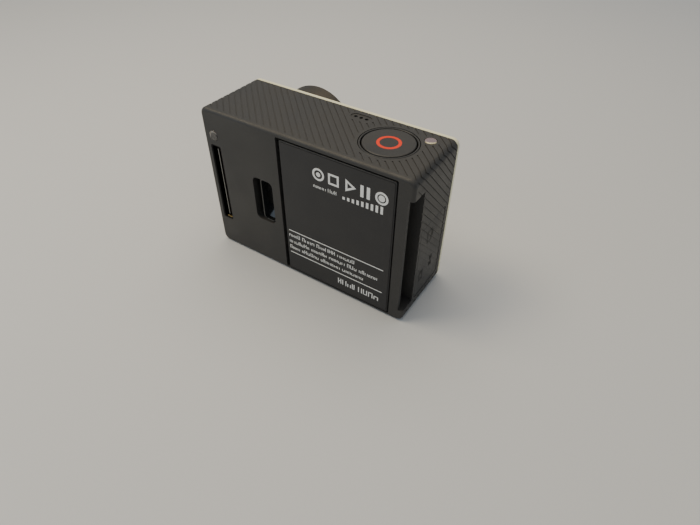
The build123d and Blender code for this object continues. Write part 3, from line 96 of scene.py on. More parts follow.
class PrintSettings(bpy.types.PropertyGroup):
    """Sizes of the printed marks."""

    ink_thickness: bpy.props.FloatProperty(
        name="Ink thickness", description="How far the ink stands on the film",
        unit="LENGTH", subtype="DISTANCE", precision=5, default=0.02 * MM)
    rule_width: bpy.props.FloatProperty(
        name="Rule width", description="Width of the two long rules of the label",
        unit="LENGTH", subtype="DISTANCE", precision=5, default=0.24 * MM)
    pictogram_height: bpy.props.FloatProperty(
        name="Pictogram height", description="Height of the row of pictograms",
        unit="LENGTH", subtype="DISTANCE", precision=5, default=3.2 * MM)
    pictogram_stroke: bpy.props.FloatProperty(
        name="Pictogram stroke", description="Line width of the row of pictograms",
        unit="LENGTH", subtype="DISTANCE", precision=5, default=0.5 * MM)


class StageSettings(bpy.types.PropertyGroup):
    """Camera and light of the studio."""

    azimuth: bpy.props.FloatProperty(
        name="Azimuth", description="Where the camera stands round the object; 0 looks along +Y",
        subtype="ANGLE", unit="ROTATION", default=math.radians(212.878))
    elevation: bpy.props.FloatProperty(
        name="Elevation", description="Height of the camera above the horizon",
        subtype="ANGLE", unit="ROTATION", default=math.radians(42.482))
    roll: bpy.props.FloatProperty(
        name="Roll", description="Turn of the camera about its own axis",
        subtype="ANGLE", unit="ROTATION", default=math.radians(0.604))
    distance: bpy.props.FloatProperty(
        name="Distance", description="From the camera to the point that it aims at",
        unit="LENGTH", subtype="DISTANCE", default=115.63 * MM)
    aim: bpy.props.FloatVectorProperty(
        name="Aim", description="The point that the camera aims at",
        subtype="TRANSLATION", size=3, default=(-18.80 * MM, 17.55 * MM, 20.0 * MM))
    focal_length: bpy.props.FloatProperty(
        name="Focal length", description="In millimetres, on a 36 mm sensor", default=26.80)
    floor_colour: bpy.props.FloatVectorProperty(
        name="Floor", description="Plain pale floor",
        subtype="COLOR", size=3, min=0, max=1, default=(0.62, 0.63, 0.64))
    key_power: bpy.props.FloatProperty(
        name="Key light", description="Power of the large soft light overhead",
        unit="POWER", default=0.90)
    fill_power: bpy.props.FloatProperty(
        name="Fill light", description="Power of the cool soft light beside the rear left",
        unit="POWER", default=0.06)
    rim_power: bpy.props.FloatProperty(
        name="Rim light", description="Power of the warm light that grazes the rear top edge",
        unit="POWER", default=0.80)
    side_power: bpy.props.FloatProperty(
        name="Side light", description="Power of the warm light beside the rear right corner",
        unit="POWER", default=0.14)


# ---------------------------------------------------------------- material building

def blank_material(name, colour, roughness, metallic=0.0):
    """A material with one principled shader, its tree and the shader."""
    material = bpy.data.materials.new(name)
    material.use_nodes = True
    tree = material.node_tree
    shader = tree.nodes["Principled BSDF"]
    shader.inputs["Base Color"].default_value = (*colour, 1.0)
    shader.inputs["Roughness"].default_value = roughness
    shader.inputs["Metallic"].default_value = metallic
    return material, tree, shader


def object_coordinates(tree, stretch=(1, 1, 1), turn=(0, 0, 0)):
    """Object coordinates, stretched and turned by a mapping."""
    source = tree.nodes.new("ShaderNodeTexCoord")
    mapping = tree.nodes.new("ShaderNodeMapping")
    mapping.inputs["Scale"].default_value = stretch
    mapping.inputs["Rotation"].default_value = turn
    tree.links.new(source.outputs["Object"], mapping.inputs["Vector"])
    return mapping.outputs["Vector"]


def noise(tree, size, detail=2.0, vector=None):
    """Noise whose blotches are about one size across, in metres."""
    texture = tree.nodes.new("ShaderNodeTexNoise")
    texture.inputs["Scale"].default_value = 1.0 / size
    texture.inputs["Detail"].default_value = detail
    tree.links.new(vector or object_coordinates(tree), texture.inputs["Vector"])
    return texture.outputs["Fac"]


def cells(tree, size):
    """Distance to the nearest of many scattered points, about one size apart."""
    texture = tree.nodes.new("ShaderNodeTexVoronoi")
    texture.inputs["Scale"].default_value = 1.0 / size
    tree.links.new(object_coordinates(tree), texture.inputs["Vector"])
    return texture.outputs["Distance"]


def spread(tree, value, low, high, start=0.3, end=0.7):
    """Spreads a value from start..end to low..high."""
    node = tree.nodes.new("ShaderNodeMapRange")
    node.inputs["From Min"].default_value = start
    node.inputs["From Max"].default_value = end
    node.inputs["To Min"].default_value = low
    node.inputs["To Max"].default_value = high
    tree.links.new(value, node.inputs["Value"])
    return node.outputs["Result"]


def blended(tree, share, first, second):
    """A colour between two colours; each is a colour or a socket."""
    node = tree.nodes.new("ShaderNodeMix")
    node.data_type = "RGBA"
    tree.links.new(share, node.inputs["Factor"])
    for colour, socket in ((first, node.inputs["A"]), (second, node.inputs["B"])):
        if isinstance(colour, (tuple, list)):
            socket.default_value = (*colour[:3], 1.0)
        else:
            tree.links.new(colour, socket)
    return node.outputs["Result"]


def distance_from(tree, place):
    """Distance of each point of the surface from a place."""
    node = tree.nodes.new("ShaderNodeVectorMath")
    node.operation = "DISTANCE"
    node.inputs[1].default_value = place
    tree.links.new(object_coordinates(tree), node.inputs[0])
    return node.outputs["Value"]


def bumped(tree, shader, height, distance):
    """Bump from a height."""
    node = tree.nodes.new("ShaderNodeBump")
    node.inputs["Strength"].default_value = 1.0
    node.inputs["Distance"].default_value = distance
    tree.links.new(height, node.inputs["Height"])
    tree.links.new(node.outputs["Normal"], shader.inputs["Normal"])


def shade(colour, factor):
    """A colour made darker or lighter."""
    return tuple(min(1.0, c * factor) for c in colour)


def moulded_plastic(name, colour, grain, roughness=0.5, relief=0.35):
    """Grained moulded plastic: fine pits, soft handling marks and a little dust."""
    material, tree, shader = blank_material(name, colour, roughness)
    shader.inputs["Specular IOR Level"].default_value = 0.5
    pits = noise(tree, grain, 3.0)
    handling = noise(tree, 9 * MM, 4.0)
    speck = spread(tree, noise(tree, 0.35 * MM, 2.0), 0.0, 0.10, 0.60, 0.74)
    tone = blended(tree, handling, shade(colour, 0.86), shade(colour, 1.16))
    dusty = blended(tree, speck, tone, shade(colour, 4.5))
    tree.links.new(dusty, shader.inputs["Base Color"])
    matte = spread(tree, handling, roughness - 0.05, roughness + 0.07, 0.35, 0.65)
    tree.links.new(matte, shader.inputs["Roughness"])
    bumped(tree, shader, pits, grain * relief)
    return material


def satin_paint(name, colour, metallic=0.35, roughness=0.36):
    """Sprayed satin paint with fine flakes and a faint orange peel."""
    material, tree, shader = blank_material(name, colour, roughness, metallic)
    shader.inputs["Coat Weight"].default_value = 0.15
    shader.inputs["Coat Roughness"].default_value = 0.25
    flakes = cells(tree, 0.09 * MM)
    peel = noise(tree, 0.5 * MM, 2.0)
    handling = noise(tree, 12 * MM, 3.0)
    tone = blended(tree, flakes, shade(colour, 0.90), shade(colour, 1.06))
    soiled = blended(tree, spread(tree, handling, 0.0, 0.22, 0.45, 0.8), tone, shade(colour, 0.8))
    tree.links.new(soiled, shader.inputs["Base Color"])
    tree.links.new(spread(tree, handling, roughness - 0.05, roughness + 0.08),
                   shader.inputs["Roughness"])
    bumped(tree, shader, peel, 0.006 * MM)
    return material


def gloss_plastic(name, colour, roughness=0.16, haze=0.10, specular=0.6):
    """Polished plastic with fine wipe marks."""
    material, tree, shader = blank_material(name, colour, roughness)
    shader.inputs["Specular IOR Level"].default_value = specular
    wipes = noise(tree, 0.8 * MM, 5.0, object_coordinates(tree, (1.0, 1.0, 0.15), (0, 0.6, 0.5)))
    cloud = noise(tree, 5 * MM, 3.0)
    tree.links.new(blended(tree, cloud, shade(colour, 0.88), shade(colour, 1.12)),
                   shader.inputs["Base Color"])
    tree.links.new(spread(tree, wipes, roughness, roughness + haze, 0.4, 0.7),
                   shader.inputs["Roughness"])
    bumped(tree, shader, noise(tree, 1.6 * MM, 1.0), 0.004 * MM)
    return material


def worked_metal(name, colour, roughness, stretch=(1, 1, 1), depth=0.003 * MM):
    """Stamped, plated or turned metal: fine lines along the stretched direction."""
    material, tree, shader = blank_material(name, colour, roughness, 1.0)
    lines = noise(tree, 0.12 * MM, 4.0, object_coordinates(tree, stretch))
    cloud = noise(tree, 3 * MM, 3.0)
    tree.links.new(blended(tree, cloud, shade(colour, 0.82), shade(colour, 1.08)),
                   shader.inputs["Base Color"])
    tree.links.new(spread(tree, lines, roughness - 0.06, roughness + 0.10),
                   shader.inputs["Roughness"])
    bumped(tree, shader, lines, depth)
    return material


def solder_mask(name, colour):
    """Circuit board lacquer over faint copper tracks and the glass weave."""
    material, tree, shader = blank_material(name, colour, 0.32)
    shader.inputs["Coat Weight"].default_value = 0.4
    shader.inputs["Coat Roughness"].default_value = 0.15
    brick = tree.nodes.new("ShaderNodeTexBrick")
    brick.inputs["Scale"].default_value = 1.0 / (1.4 * MM)
    brick.inputs["Mortar Size"].default_value = 0.09
    brick.inputs["Color1"].default_value = (*shade(colour, 0.95), 1.0)
    brick.inputs["Color2"].default_value = (*shade(colour, 0.85), 1.0)
    brick.inputs["Mortar"].default_value = (*shade(colour, 1.9), 1.0)
    vector = object_coordinates(tree, (1, 1, 1), (RIGHT_ANGLE, 0, RIGHT_ANGLE / 2))
    tree.links.new(vector, brick.inputs["Vector"])
    cloud = noise(tree, 2 * MM, 3.0)
    tree.links.new(blended(tree, spread(tree, cloud, 0.0, 0.35), brick.outputs["Color"],
                           shade(colour, 0.7)), shader.inputs["Base Color"])
    bumped(tree, shader, brick.outputs["Fac"], 0.02 * MM)
    return material


def coated_glass(name, tint, film_thickness):
    """Clear glass with an anti-reflection film."""
    material, tree, shader = blank_material(name, tint, 0.02)
    shader.inputs["Transmission Weight"].default_value = 1.0
    shader.inputs["IOR"].default_value = 1.52
    shader.inputs["Thin Film Thickness"].default_value = film_thickness
    shader.inputs["Thin Film IOR"].default_value = 1.38
    wipes = noise(tree, 1.2 * MM, 4.0)
    tree.links.new(spread(tree, wipes, 0.01, 0.05, 0.5, 0.8), shader.inputs["Roughness"])
    return material


def printed_film(name, colour):
    """Semi-gloss polyester film: a fine emboss under a soft sheen, with a few rubs."""
    material, tree, shader = blank_material(name, colour, 0.42)
    shader.inputs["Specular IOR Level"].default_value = 0.45
    emboss = noise(tree, 0.11 * MM, 2.0)
    cloud = noise(tree, 8 * MM, 4.0)
    rubs = noise(tree, 0.5 * MM, 6.0, object_coordinates(tree, (1, 1, 0.12), (0, 0.5, 0)))
    tone = blended(tree, cloud, shade(colour, 0.85), shade(colour, 1.2))
    worn = blended(tree, spread(tree, rubs, 0.0, 0.10, 0.62, 0.75), tone, shade(colour, 5.0))
    tree.links.new(worn, shader.inputs["Base Color"])
    tree.links.new(spread(tree, cloud, 0.38, 0.50, 0.35, 0.65), shader.inputs["Roughness"])
    bumped(tree, shader, emboss, 0.02 * MM)
    return material


def ink(name, colour, roughness=0.5):
    """Screen-printed ink: slightly uneven, with a mesh trace."""
    material, tree, shader = blank_material(name, colour, roughness)
    mottle = noise(tree, 0.25 * MM, 3.0)
    tree.links.new(blended(tree, mottle, shade(colour, 0.93), colour), shader.inputs["Base Color"])
    bumped(tree, shader, noise(tree, 0.08 * MM, 1.0), 0.006 * MM)
    return material


def milky_guide(name, colour, painted_light_colour=None, place=(0, 0, 0), reach=1 * MM):
    """Light guide of milky clear plastic; painted light (a paler lit side) colours it beyond a
    distance from a place.
    """
    material, tree, shader = blank_material(name, colour, 0.25)
    shader.inputs["Subsurface Weight"].default_value = 0.6
    shader.inputs["Subsurface Radius"].default_value = (1.0, 0.9, 0.8)
    shader.inputs["Subsurface Scale"].default_value = 0.8 * MM
    shader.inputs["Coat Weight"].default_value = 0.5
    cloud = noise(tree, 0.9 * MM, 2.0)
    tone = blended(tree, cloud, shade(colour, 0.85), colour)
    if painted_light_colour:
        # Painted light: beyond the reach from the place the guide takes the paler colour, a
        # painted lit crescent.
        edge = spread(tree, distance_from(tree, place), 0.0, 1.0, reach, reach * 1.12)
        tone = blended(tree, edge, tone, painted_light_colour)
    tree.links.new(tone, shader.inputs["Base Color"])
    bumped(tree, shader, noise(tree, 0.3 * MM, 2.0), 0.01 * MM)
    return material


def soft_rubber(name, colour):
    """Foam or gap filler with fine cells."""
    material, tree, shader = blank_material(name, colour, 0.85)
    pores = cells(tree, 0.2 * MM)
    tree.links.new(blended(tree, pores, shade(colour, 0.6), shade(colour, 1.15)),
                   shader.inputs["Base Color"])
    bumped(tree, shader, pores, 0.05 * MM)
    return material


# ---------------------------------------------------------------- modelling by hand

def start_clean():
    """Leaves nothing selected and no object active."""
    if bpy.context.object and bpy.context.object.mode != "OBJECT":
        bpy.ops.object.mode_set(mode="OBJECT")
    bpy.ops.object.select_all(action="DESELECT")


def apply_modifier(piece, kind, **settings):
    """Adds a modifier, sets it and applies it."""
    modifier = piece.modifiers.new(kind.title(), kind)
    for key, value in settings.items():
        setattr(modifier, key, value)
    bpy.context.view_layer.objects.active = piece
    bpy.ops.object.modifier_apply(modifier=modifier.name)


def select_edges(piece, wanted):
    """Selects the edges that a test accepts, from their two end points."""
    bpy.ops.object.mode_set(mode="EDIT")
    bpy.ops.mesh.select_mode(type="EDGE")
    bpy.ops.mesh.select_all(action="DESELECT")
    bpy.ops.object.mode_set(mode="OBJECT")
    points = piece.data.vertices
    for edge in piece.data.edges:
        a, b = (points[i].co for i in edge.vertices)
        edge.select = wanted(a, b)
    bpy.ops.object.mode_set(mode="EDIT")


def plate(low, high, corner=0.0):
    """A plate between two corners, with its edges along Y rounded in edit mode."""
    start_clean()
    low, high = Vector(low), Vector(high)
    bpy.ops.mesh.primitive_cube_add(size=1, location=(low + high) / 2)
    piece = bpy.context.object
    piece.scale = high - low
    bpy.ops.object.transform_apply(location=True, rotation=True, scale=True)
    if corner > 0:
        deep = high.y - low.y
        select_edges(piece, lambda a, b: abs(a.y - b.y) > 0.9 * deep
                     and (a - b).length < 1.01 * deep)
        bpy.ops.mesh.bevel(offset=corner, segments=4, affect="EDGES")
        bpy.ops.object.mode_set(mode="OBJECT")
    return piece


def outline(place, radius, stroke, depth, sides=48, turn=0.0):
    """A flat closed outline across Y: a ring, or a polygon with few sides."""
    start_clean()
    bpy.ops.mesh.primitive_cylinder_add(vertices=sides, radius=radius, depth=depth,
                                        end_fill_type="NOTHING", location=place,
                                        rotation=(RIGHT_ANGLE, turn, 0))
    piece = bpy.context.object
    bpy.ops.object.transform_apply(location=True, rotation=True, scale=True)
    apply_modifier(piece, "SOLIDIFY", thickness=stroke, offset=-1, use_even_offset=True)
    return piece


def disc(place, radius, depth):
    """A small flat disc across Y."""
    start_clean()
    bpy.ops.mesh.primitive_cylinder_add(vertices=40, radius=radius, depth=depth,
                                        location=place, rotation=(RIGHT_ANGLE, 0, 0))
    piece = bpy.context.object
    bpy.ops.object.transform_apply(location=True, rotation=True, scale=True)
    return piece


def bars(places):
    """Many small bars in one mesh, added in edit mode from (centre, size) pairs."""
    start_clean()
    first, rest = places[0], places[1:]
    bpy.ops.mesh.primitive_cube_add(size=1, location=(0, 0, 0))
    piece = bpy.context.object
    bpy.ops.object.mode_set(mode="EDIT")
    bpy.ops.transform.resize(value=first[1])
    bpy.ops.transform.translate(value=first[0])
    for centre, size in rest:
        bpy.ops.mesh.select_all(action="DESELECT")
        bpy.ops.mesh.primitive_cube_add(size=1, location=centre, scale=size)
    bpy.ops.object.mode_set(mode="OBJECT")
    return piece


def joined(pieces):
    """Joins pieces into the first one."""
    start_clean()
    for piece in pieces:
        piece.select_set(True)
    bpy.context.view_layer.objects.active = pieces[0]
    if len(pieces) > 1:
        bpy.ops.object.join()
    return pieces[0]


def finish_piece(piece, name, material, body):
    """Names a piece, gives it its material and lets it ride on its body."""
    piece.name = name
    piece.data.name = name
    piece.data.materials.clear()
    piece.data.materials.append(material)
    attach(piece, body)
    return piece


def paint(node, material):
    """Gives a carried-over node its finish."""
    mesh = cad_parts[node].data
    mesh.materials.clear()
    mesh.materials.append(material)


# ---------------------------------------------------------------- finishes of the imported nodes

class ACTIONCAM_OT_case_finish(bpy.types.Operator):
    """Finish the case, the cover, the keys, the doors and the light guides; two guides carry
    painted light
    """

    bl_idname = "actioncam.case_finish"
    bl_label = "Case Finish"

    def execute(self, context):
        look = context.scene.actioncam_finish
        case = moulded_plastic("case_plastic", tuple(look.case_colour), look.grain_size, 0.50)
        door = moulded_plastic("door_plastic", tuple(look.door_colour), look.grain_size, 0.47)
        key = moulded_plastic("key_plastic", shade(look.case_colour, 0.92),
                              look.grain_size * 0.7, 0.44, 0.25)
        cover = satin_paint("front_cover_paint", tuple(look.cover_colour), 0.10, 0.40)
        ring = gloss_plastic("record_red", tuple(look.ring_colour), 0.42, 0.1, 0.2)
        latch = gloss_plastic("latch_gloss", (0.012, 0.013, 0.014), 0.16)
        guide = milky_guide("light_guide", (0.60, 0.50, 0.42))
        low, high = corners("top_light_guide")
        place = Vector(((low.x + high.x) / 2, (low.y + high.y) / 2, high.z))
        # Painted light: the pale yellow beyond 1.45 mm from the offset centre is the guide's lit
        # lower half, painted on.
        top_guide_painted_lit_half = milky_guide("top_light_guide", (0.26, 0.20, 0.22), (0.72, 0.66, 0.42),
                                place + Vector((0.25, -0.40, 0)) * MM, 1.45 * MM)
        low, high = corners("rear_light_guide")
        place = Vector(((low.x + high.x) / 2, high.y, (low.z + high.z) / 2))
        # Painted highlight: the lighter crescent at the top left of the rear light guide is
        # painted on.
        rear_guide_painted_highlight = milky_guide("rear_light_guide", (0.035, 0.034, 0.034), (0.22, 0.20, 0.18),
                                 place + Vector((-0.30, 0, -0.30)) * MM, 1.15 * MM)
        film = printed_film("label_film", tuple(look.label_colour))
        port = worked_metal("port_plating", (0.020, 0.020, 0.022), 0.36, (1, 1, 0.1))
        finishes = {
            "rear_case": case, "front_cover": cover, "battery_door": door, "side_door": case,
            "battery_door_hooks": door, "battery_door_label": film, "shutter_button": key,
            "power_button": key, "wifi_button": key, "shutter_ring": ring,
            "power_button_ring": ring, "shutter_bezel": key, "latch_cup": latch,
            "top_light_guide": top_guide_painted_lit_half, "rear_light_guide": rear_guide_painted_highlight,
            "front_light_guides": guide, "expansion_connector": port,
        }
        for node, material in finishes.items():
            paint(node, material)
        return {"FINISHED"}


class ACTIONCAM_OT_lens_finish(bpy.types.Operator):
    """Finish the barrel, the glass and what stands behind it"""

    bl_idname = "actioncam.lens_finish"
    bl_label = "Lens Finish"

    def execute(self, context):
        barrel = worked_metal("barrel_black", (0.105, 0.095, 0.082), 0.50, (1, 0.05, 1))
        trim = gloss_plastic("trim_gloss", (0.015, 0.015, 0.017), 0.14)
        flock = moulded_plastic("stray_light_black", (0.008, 0.008, 0.009), 0.1 * MM, 0.8, 0.5)
        front_glass = coated_glass("front_glass", (0.97, 0.99, 1.0), 420.0)
        inner_glass = coated_glass("inner_glass", (0.95, 0.98, 1.0), 520.0)
        cut_glass = coated_glass("infrared_filter", (0.70, 0.95, 0.92), 600.0)
        ceramic = gloss_plastic("sensor_package", (0.03, 0.028, 0.035), 0.22)
        finishes = {
            "lens_housing": barrel, "lens_trim_ring": trim, "lens_baffle": flock,
            "lens_cell": flock, "lens_holder": flock, "aperture_stop": flock,
            "lens_front_element": front_glass, "lens_inner_elements": inner_glass,
            "ir_filter": cut_glass, "image_sensor": ceramic,
        }
        for node, material in finishes.items():
            paint(node, material)
        return {"FINISHED"}


class ACTIONCAM_OT_inner_finish(bpy.types.Operator):
    """Finish the electronics, the metal parts, the battery and the card"""

    bl_idname = "actioncam.inner_finish"
    bl_label = "Inner Finish"

    def execute(self, context):
        board = solder_mask("solder_mask", (0.012, 0.085, 0.030))
        steel = worked_metal("plated_steel", (0.60, 0.60, 0.60), 0.28, (0.15, 1, 1))
        screw = worked_metal("black_zinc", (0.10, 0.10, 0.11), 0.36)
        plate_metal = worked_metal("plate_aluminium", (0.80, 0.81, 0.82), 0.38, (0.08, 1, 1))
        gold = worked_metal("contact_gold", (0.90, 0.66, 0.28), 0.24, (1, 1, 0.3), 0.001 * MM)
        epoxy = moulded_plastic("chip_epoxy", (0.014, 0.014, 0.015), 0.12 * MM, 0.55, 0.2)
        amber = gloss_plastic("flex_amber", (0.50, 0.20, 0.030), 0.28)
        filler = soft_rubber("gap_filler", (0.30, 0.36, 0.46))
        foam = soft_rubber("sounder_black", (0.020, 0.020, 0.020))
        wrap = gloss_plastic("battery_wrap", (0.030, 0.030, 0.034), 0.34, 0.14)
        card = gloss_plastic("card_plastic", (0.012, 0.012, 0.014), 0.30)
        block = gloss_plastic("contact_block", (0.012, 0.012, 0.012), 0.35)
        tab = printed_film("pull_tab_film", (0.62, 0.62, 0.60))
        window = coated_glass("window_clear", (0.80, 0.82, 0.84), 300.0)
        module = gloss_plastic("display_module", (0.05, 0.05, 0.055), 0.2)
        emitter = milky_guide("emitter", (0.80, 0.74, 0.40))
        finishes = {
            board: ("sensor_board", "main_board", "button_board", "front_light_board"),
            steel: ("shield_can", "power_switch", "shutter_switch", "wifi_switch", "microphone",
                    "hdmi_socket", "usb_socket", "memory_card_slot"),
            screw: ("lens_holder_screws", "chassis_screws"),
            plate_metal: ("chassis_plate",),
            gold: ("battery_contact_pads", "expansion_contacts"),
            epoxy: ("processor", "power_plunger", "shutter_plunger", "wifi_plunger"),
            amber: ("sensor_flex", "lcd_flex"),
            filler: ("thermal_pad",),
            foam: ("buzzer",),
            wrap: ("battery",),
            card: ("memory_card",),
            block: ("battery_spring_contacts",),
            tab: ("battery_pull_tab",),
            window: ("lcd_window",),
            module: ("lcd_module",),
            emitter: ("light_chips",),
        }
        for material, nodes in finishes.items():
            for node in nodes:
                paint(node, material)
        return {"FINISHED"}


# ---------------------------------------------------------------- printed marks of the rear door

def on_label(across, up, depth=0.0):
    """A point on the label, from its left edge as seen from behind and from its bottom, in mm."""
    return Vector((LABEL_HIGH[0] - across * MM, LABEL_HIGH[1] + depth, LABEL_LOW[2] + up * MM))


def word_marks(start, end, up, height, seed, thickness):
    """Marks that read as a row of words from afar, without being letters."""
    chance = random.Random(seed)
    places = []
    across = start
    while across < end - height:
        for _ in range(chance.randint(3, 8)):
            wide = height * chance.uniform(0.30, 0.62)
            if across + wide > end:
                break
            tall = height * chance.choice((0.62, 0.62, 0.70, 1.0))
            for share in (0.0, 1.0):
                centre = on_label(across + wide * share, up + tall / 2, thickness / 2)
                places.append((centre, Vector((height * 0.16 * MM, thickness, tall * MM))))
            if chance.random() < 0.75:
                level = chance.choice((0.08, 0.5, 0.92))
                centre = on_label(across + wide / 2, up + tall * level, thickness / 2)
                places.append((centre, Vector((wide * MM, thickness, height * 0.15 * MM))))
            across += wide + height * 0.34
        across += height * 0.45
    return places


class ACTIONCAM_OT_label_print(bpy.types.Operator):
    """Print the label of the rear door: pictograms, level bars, rules and rows of marks"""

    bl_idname = "actioncam.label_print"
    bl_label = "Label Print"

    def execute(self, context):
        sizes = context.scene.actioncam_print
        white = ink("ink_white", tuple(context.scene.actioncam_finish.ink_colour))
        thick = sizes.ink_thickness
        finish_piece(self.pictograms(sizes), "label_pictograms", white, REAR_DOOR)
        finish_piece(self.level_bars(thick), "label_level_bars", white, REAR_DOOR)
        finish_piece(self.rules(sizes), "label_rules", white, REAR_DOOR)
        rows = []
        for end, up, seed in ((21.0, 11.0, 3), (28.4, 9.0, 5), (23.6, 7.0, 8)):
            rows += word_marks(0.7, end, up, 1.15, seed, thick)
        rows += word_marks(9.2, 15.8, 29.3, 0.95, 13, thick)
        rows += word_marks(15.8, 28.4, 2.3, 1.7, 21, thick)
        finish_piece(bars(rows), "label_word_rows", white, REAR_DOOR)
        return {"FINISHED"}

    def pictograms(self, sizes):
        """A row of plain signs: lens, frame, play, pause and record."""
        half = sizes.pictogram_height / 2 / MM
        stroke, thick = sizes.pictogram_stroke, sizes.ink_thickness
        up = 33.0
        places = [10.6 + i * 4.1 for i in range(5)]
        points = [on_label(across, up, thick / 2) for across in places]
        radius = half * MM
        made = [
            outline(points[0], radius, stroke, thick),
            disc(points[0], radius * 0.36, thick),
            outline(points[1], radius * 1.25, stroke, thick, 4, math.radians(45)),
            outline(points[2], radius * 1.15, stroke, thick, 3, math.radians(-90)),
            outline(points[4], radius, stroke, thick),
            disc(points[4], radius * 0.50, thick),
        ]
        pause = [(points[3] + Vector((side * radius * 0.5, 0, 0)),
                  Vector((radius * 0.5, thick, radius * 1.9))) for side in (-1, 1)]
        made.append(bars(pause))
        return joined(made)

    def level_bars(self, thick):
        """Rising bars, as on a sound level."""
        count, pitch = 9, 1.22
        return bars([(on_label(17.4 + i * pitch, 29.0 + (0.7 + 0.16 * i) / 2, thick / 2),
                      Vector((0.62 * MM, thick, (0.7 + 0.16 * i) * MM))) for i in range(count)])

    def rules(self, sizes):
        """The two long rules round the rows of marks."""
        half = (28.5 - 0.64) / 2
        return bars([(on_label(0.64 + half, up, sizes.ink_thickness / 2),
                      Vector((2 * half * MM, sizes.ink_thickness, sizes.rule_width)))
                     for up in (13.03, 5.75)])


class ACTIONCAM_OT_door_inside(bpy.types.Operator):
    """Stiffening ribs and a foam strip on the inside of the rear door"""

    bl_idname = "actioncam.door_inside"
    bl_label = "Rear Door Inside"

    def execute(self, context):
        low, high = corners("battery_door")
        edge, rib, ribs = 3.0 * MM, 0.5 * MM, 5
        back = low.y
        front = back - 0.35 * MM
        middle = (low + high) / 2
        width, height = high.x - low.x - 2 * edge, high.z - low.z - 2 * edge
        places = []
        for i in range(ribs):
            x = low.x + edge + width * i / (ribs - 1)
            places.append((Vector((x, (front + back) / 2, middle.z)),
                           Vector((rib, back - front, height))))
        for i in range(ribs):
            z = low.z + edge + height * i / (ribs - 1)
            places.append((Vector((middle.x, (front + back) / 2, z)),
                           Vector((width + rib, back - front, rib))))
        look = context.scene.actioncam_finish
        plastic = moulded_plastic("door_rib_plastic", tuple(look.door_colour),
                                  look.grain_size, 0.55)
        finish_piece(bars(places), "rear_door_ribs", plastic, REAR_DOOR)
        foam = plate((low.x + 5 * MM, front - 0.25 * MM, middle.z + 6 * MM),
                     (high.x - 5 * MM, front, middle.z + 9 * MM), 0.4 * MM)
        finish_piece(foam, "rear_door_foam", soft_rubber("door_foam", (0.05, 0.05, 0.05)),
                     REAR_DOOR)
        return {"FINISHED"}


# ---------------------------------------------------------------- signs of the side door

class ACTIONCAM_OT_port_signs(bpy.types.Operator):
    """Three small dark signs on the side door: a screen, a plug and a card"""

    bl_idname = "actioncam.port_signs"
    bl_label = "Port Signs"

    def execute(self, context):
        thick = context.scene.actioncam_print.ink_thickness
        dark = ink("ink_dark", (0.002, 0.002, 0.002), 0.6)
        face = corners("side_door")[0].x - thick / 2

        line = 0.38
        screen = [(0.1, -1.6, 2.0, line), (0.1, 1.6, 2.0, line), (-0.9, 0, line, 3.5),
                  (1.1, 0, line, 3.5), (-1.5, 0, line, 1.8), (-1.2, 0, 0.5, line)]
        plug = [(0, 0, line, 3.4), (0, -1.6, 1.5, line), (0, -1.0, 1.5, 0.9),
                (-0.5, 1.1, line, 1.0), (0.5, 1.1, line, 1.0), (0, 0.6, 1.2, line)]
        card = [(-0.8, 0, line, 2.8), (0.8, -0.4, line, 2.0), (0, -1.4, 1.9, line),
                (-0.3, 1.4, 1.3, line), (0.45, 0.9, line, 0.9), (-0.2, 0.7, 0.25, 0.8)]
        places = []
        for (y, z), sign in (((-0.34, 20.5), screen), ((-2.68, 11.1), plug), ((2.21, 9.5), card)):
            for across, up, wide, tall in sign:
                places.append((Vector((face, (y + across) * MM, (z + up) * MM)),
                               Vector((thick, wide * MM, tall * MM))))
        finish_piece(bars(places), "port_signs", dark, PORT_DOOR)
        return {"FINISHED"}


# ---------------------------------------------------------------- display and front

SEGMENTS = {
    "0": "abcdef", "1": "bc", "2": "abged", "3": "abgcd", "4": "fgbc", "5": "afgcd",
}


def digit(place, height, lit, thick):
    """One seven-segment digit as bars, with its middle at a place."""
    half, quarter, line = height * 0.26, height / 4, height * 0.11
    spots = {
        "a": (0, 2, 1), "g": (0, 0, 1), "d": (0, -2, 1),
        "f": (-1, 1, 0), "b": (1, 1, 0), "e": (-1, -1, 0), "c": (1, -1, 0),
    }
    gap = line * 1.3
    lying, standing = (2 * half - gap, thick, line), (line, thick, 2 * quarter - gap)
    made = []
    for name in lit:
        side, level, flat = spots[name]
        centre = place + Vector((side * half, 0, level * quarter))
        made.append((centre, Vector(lying if flat else standing)))
    return made


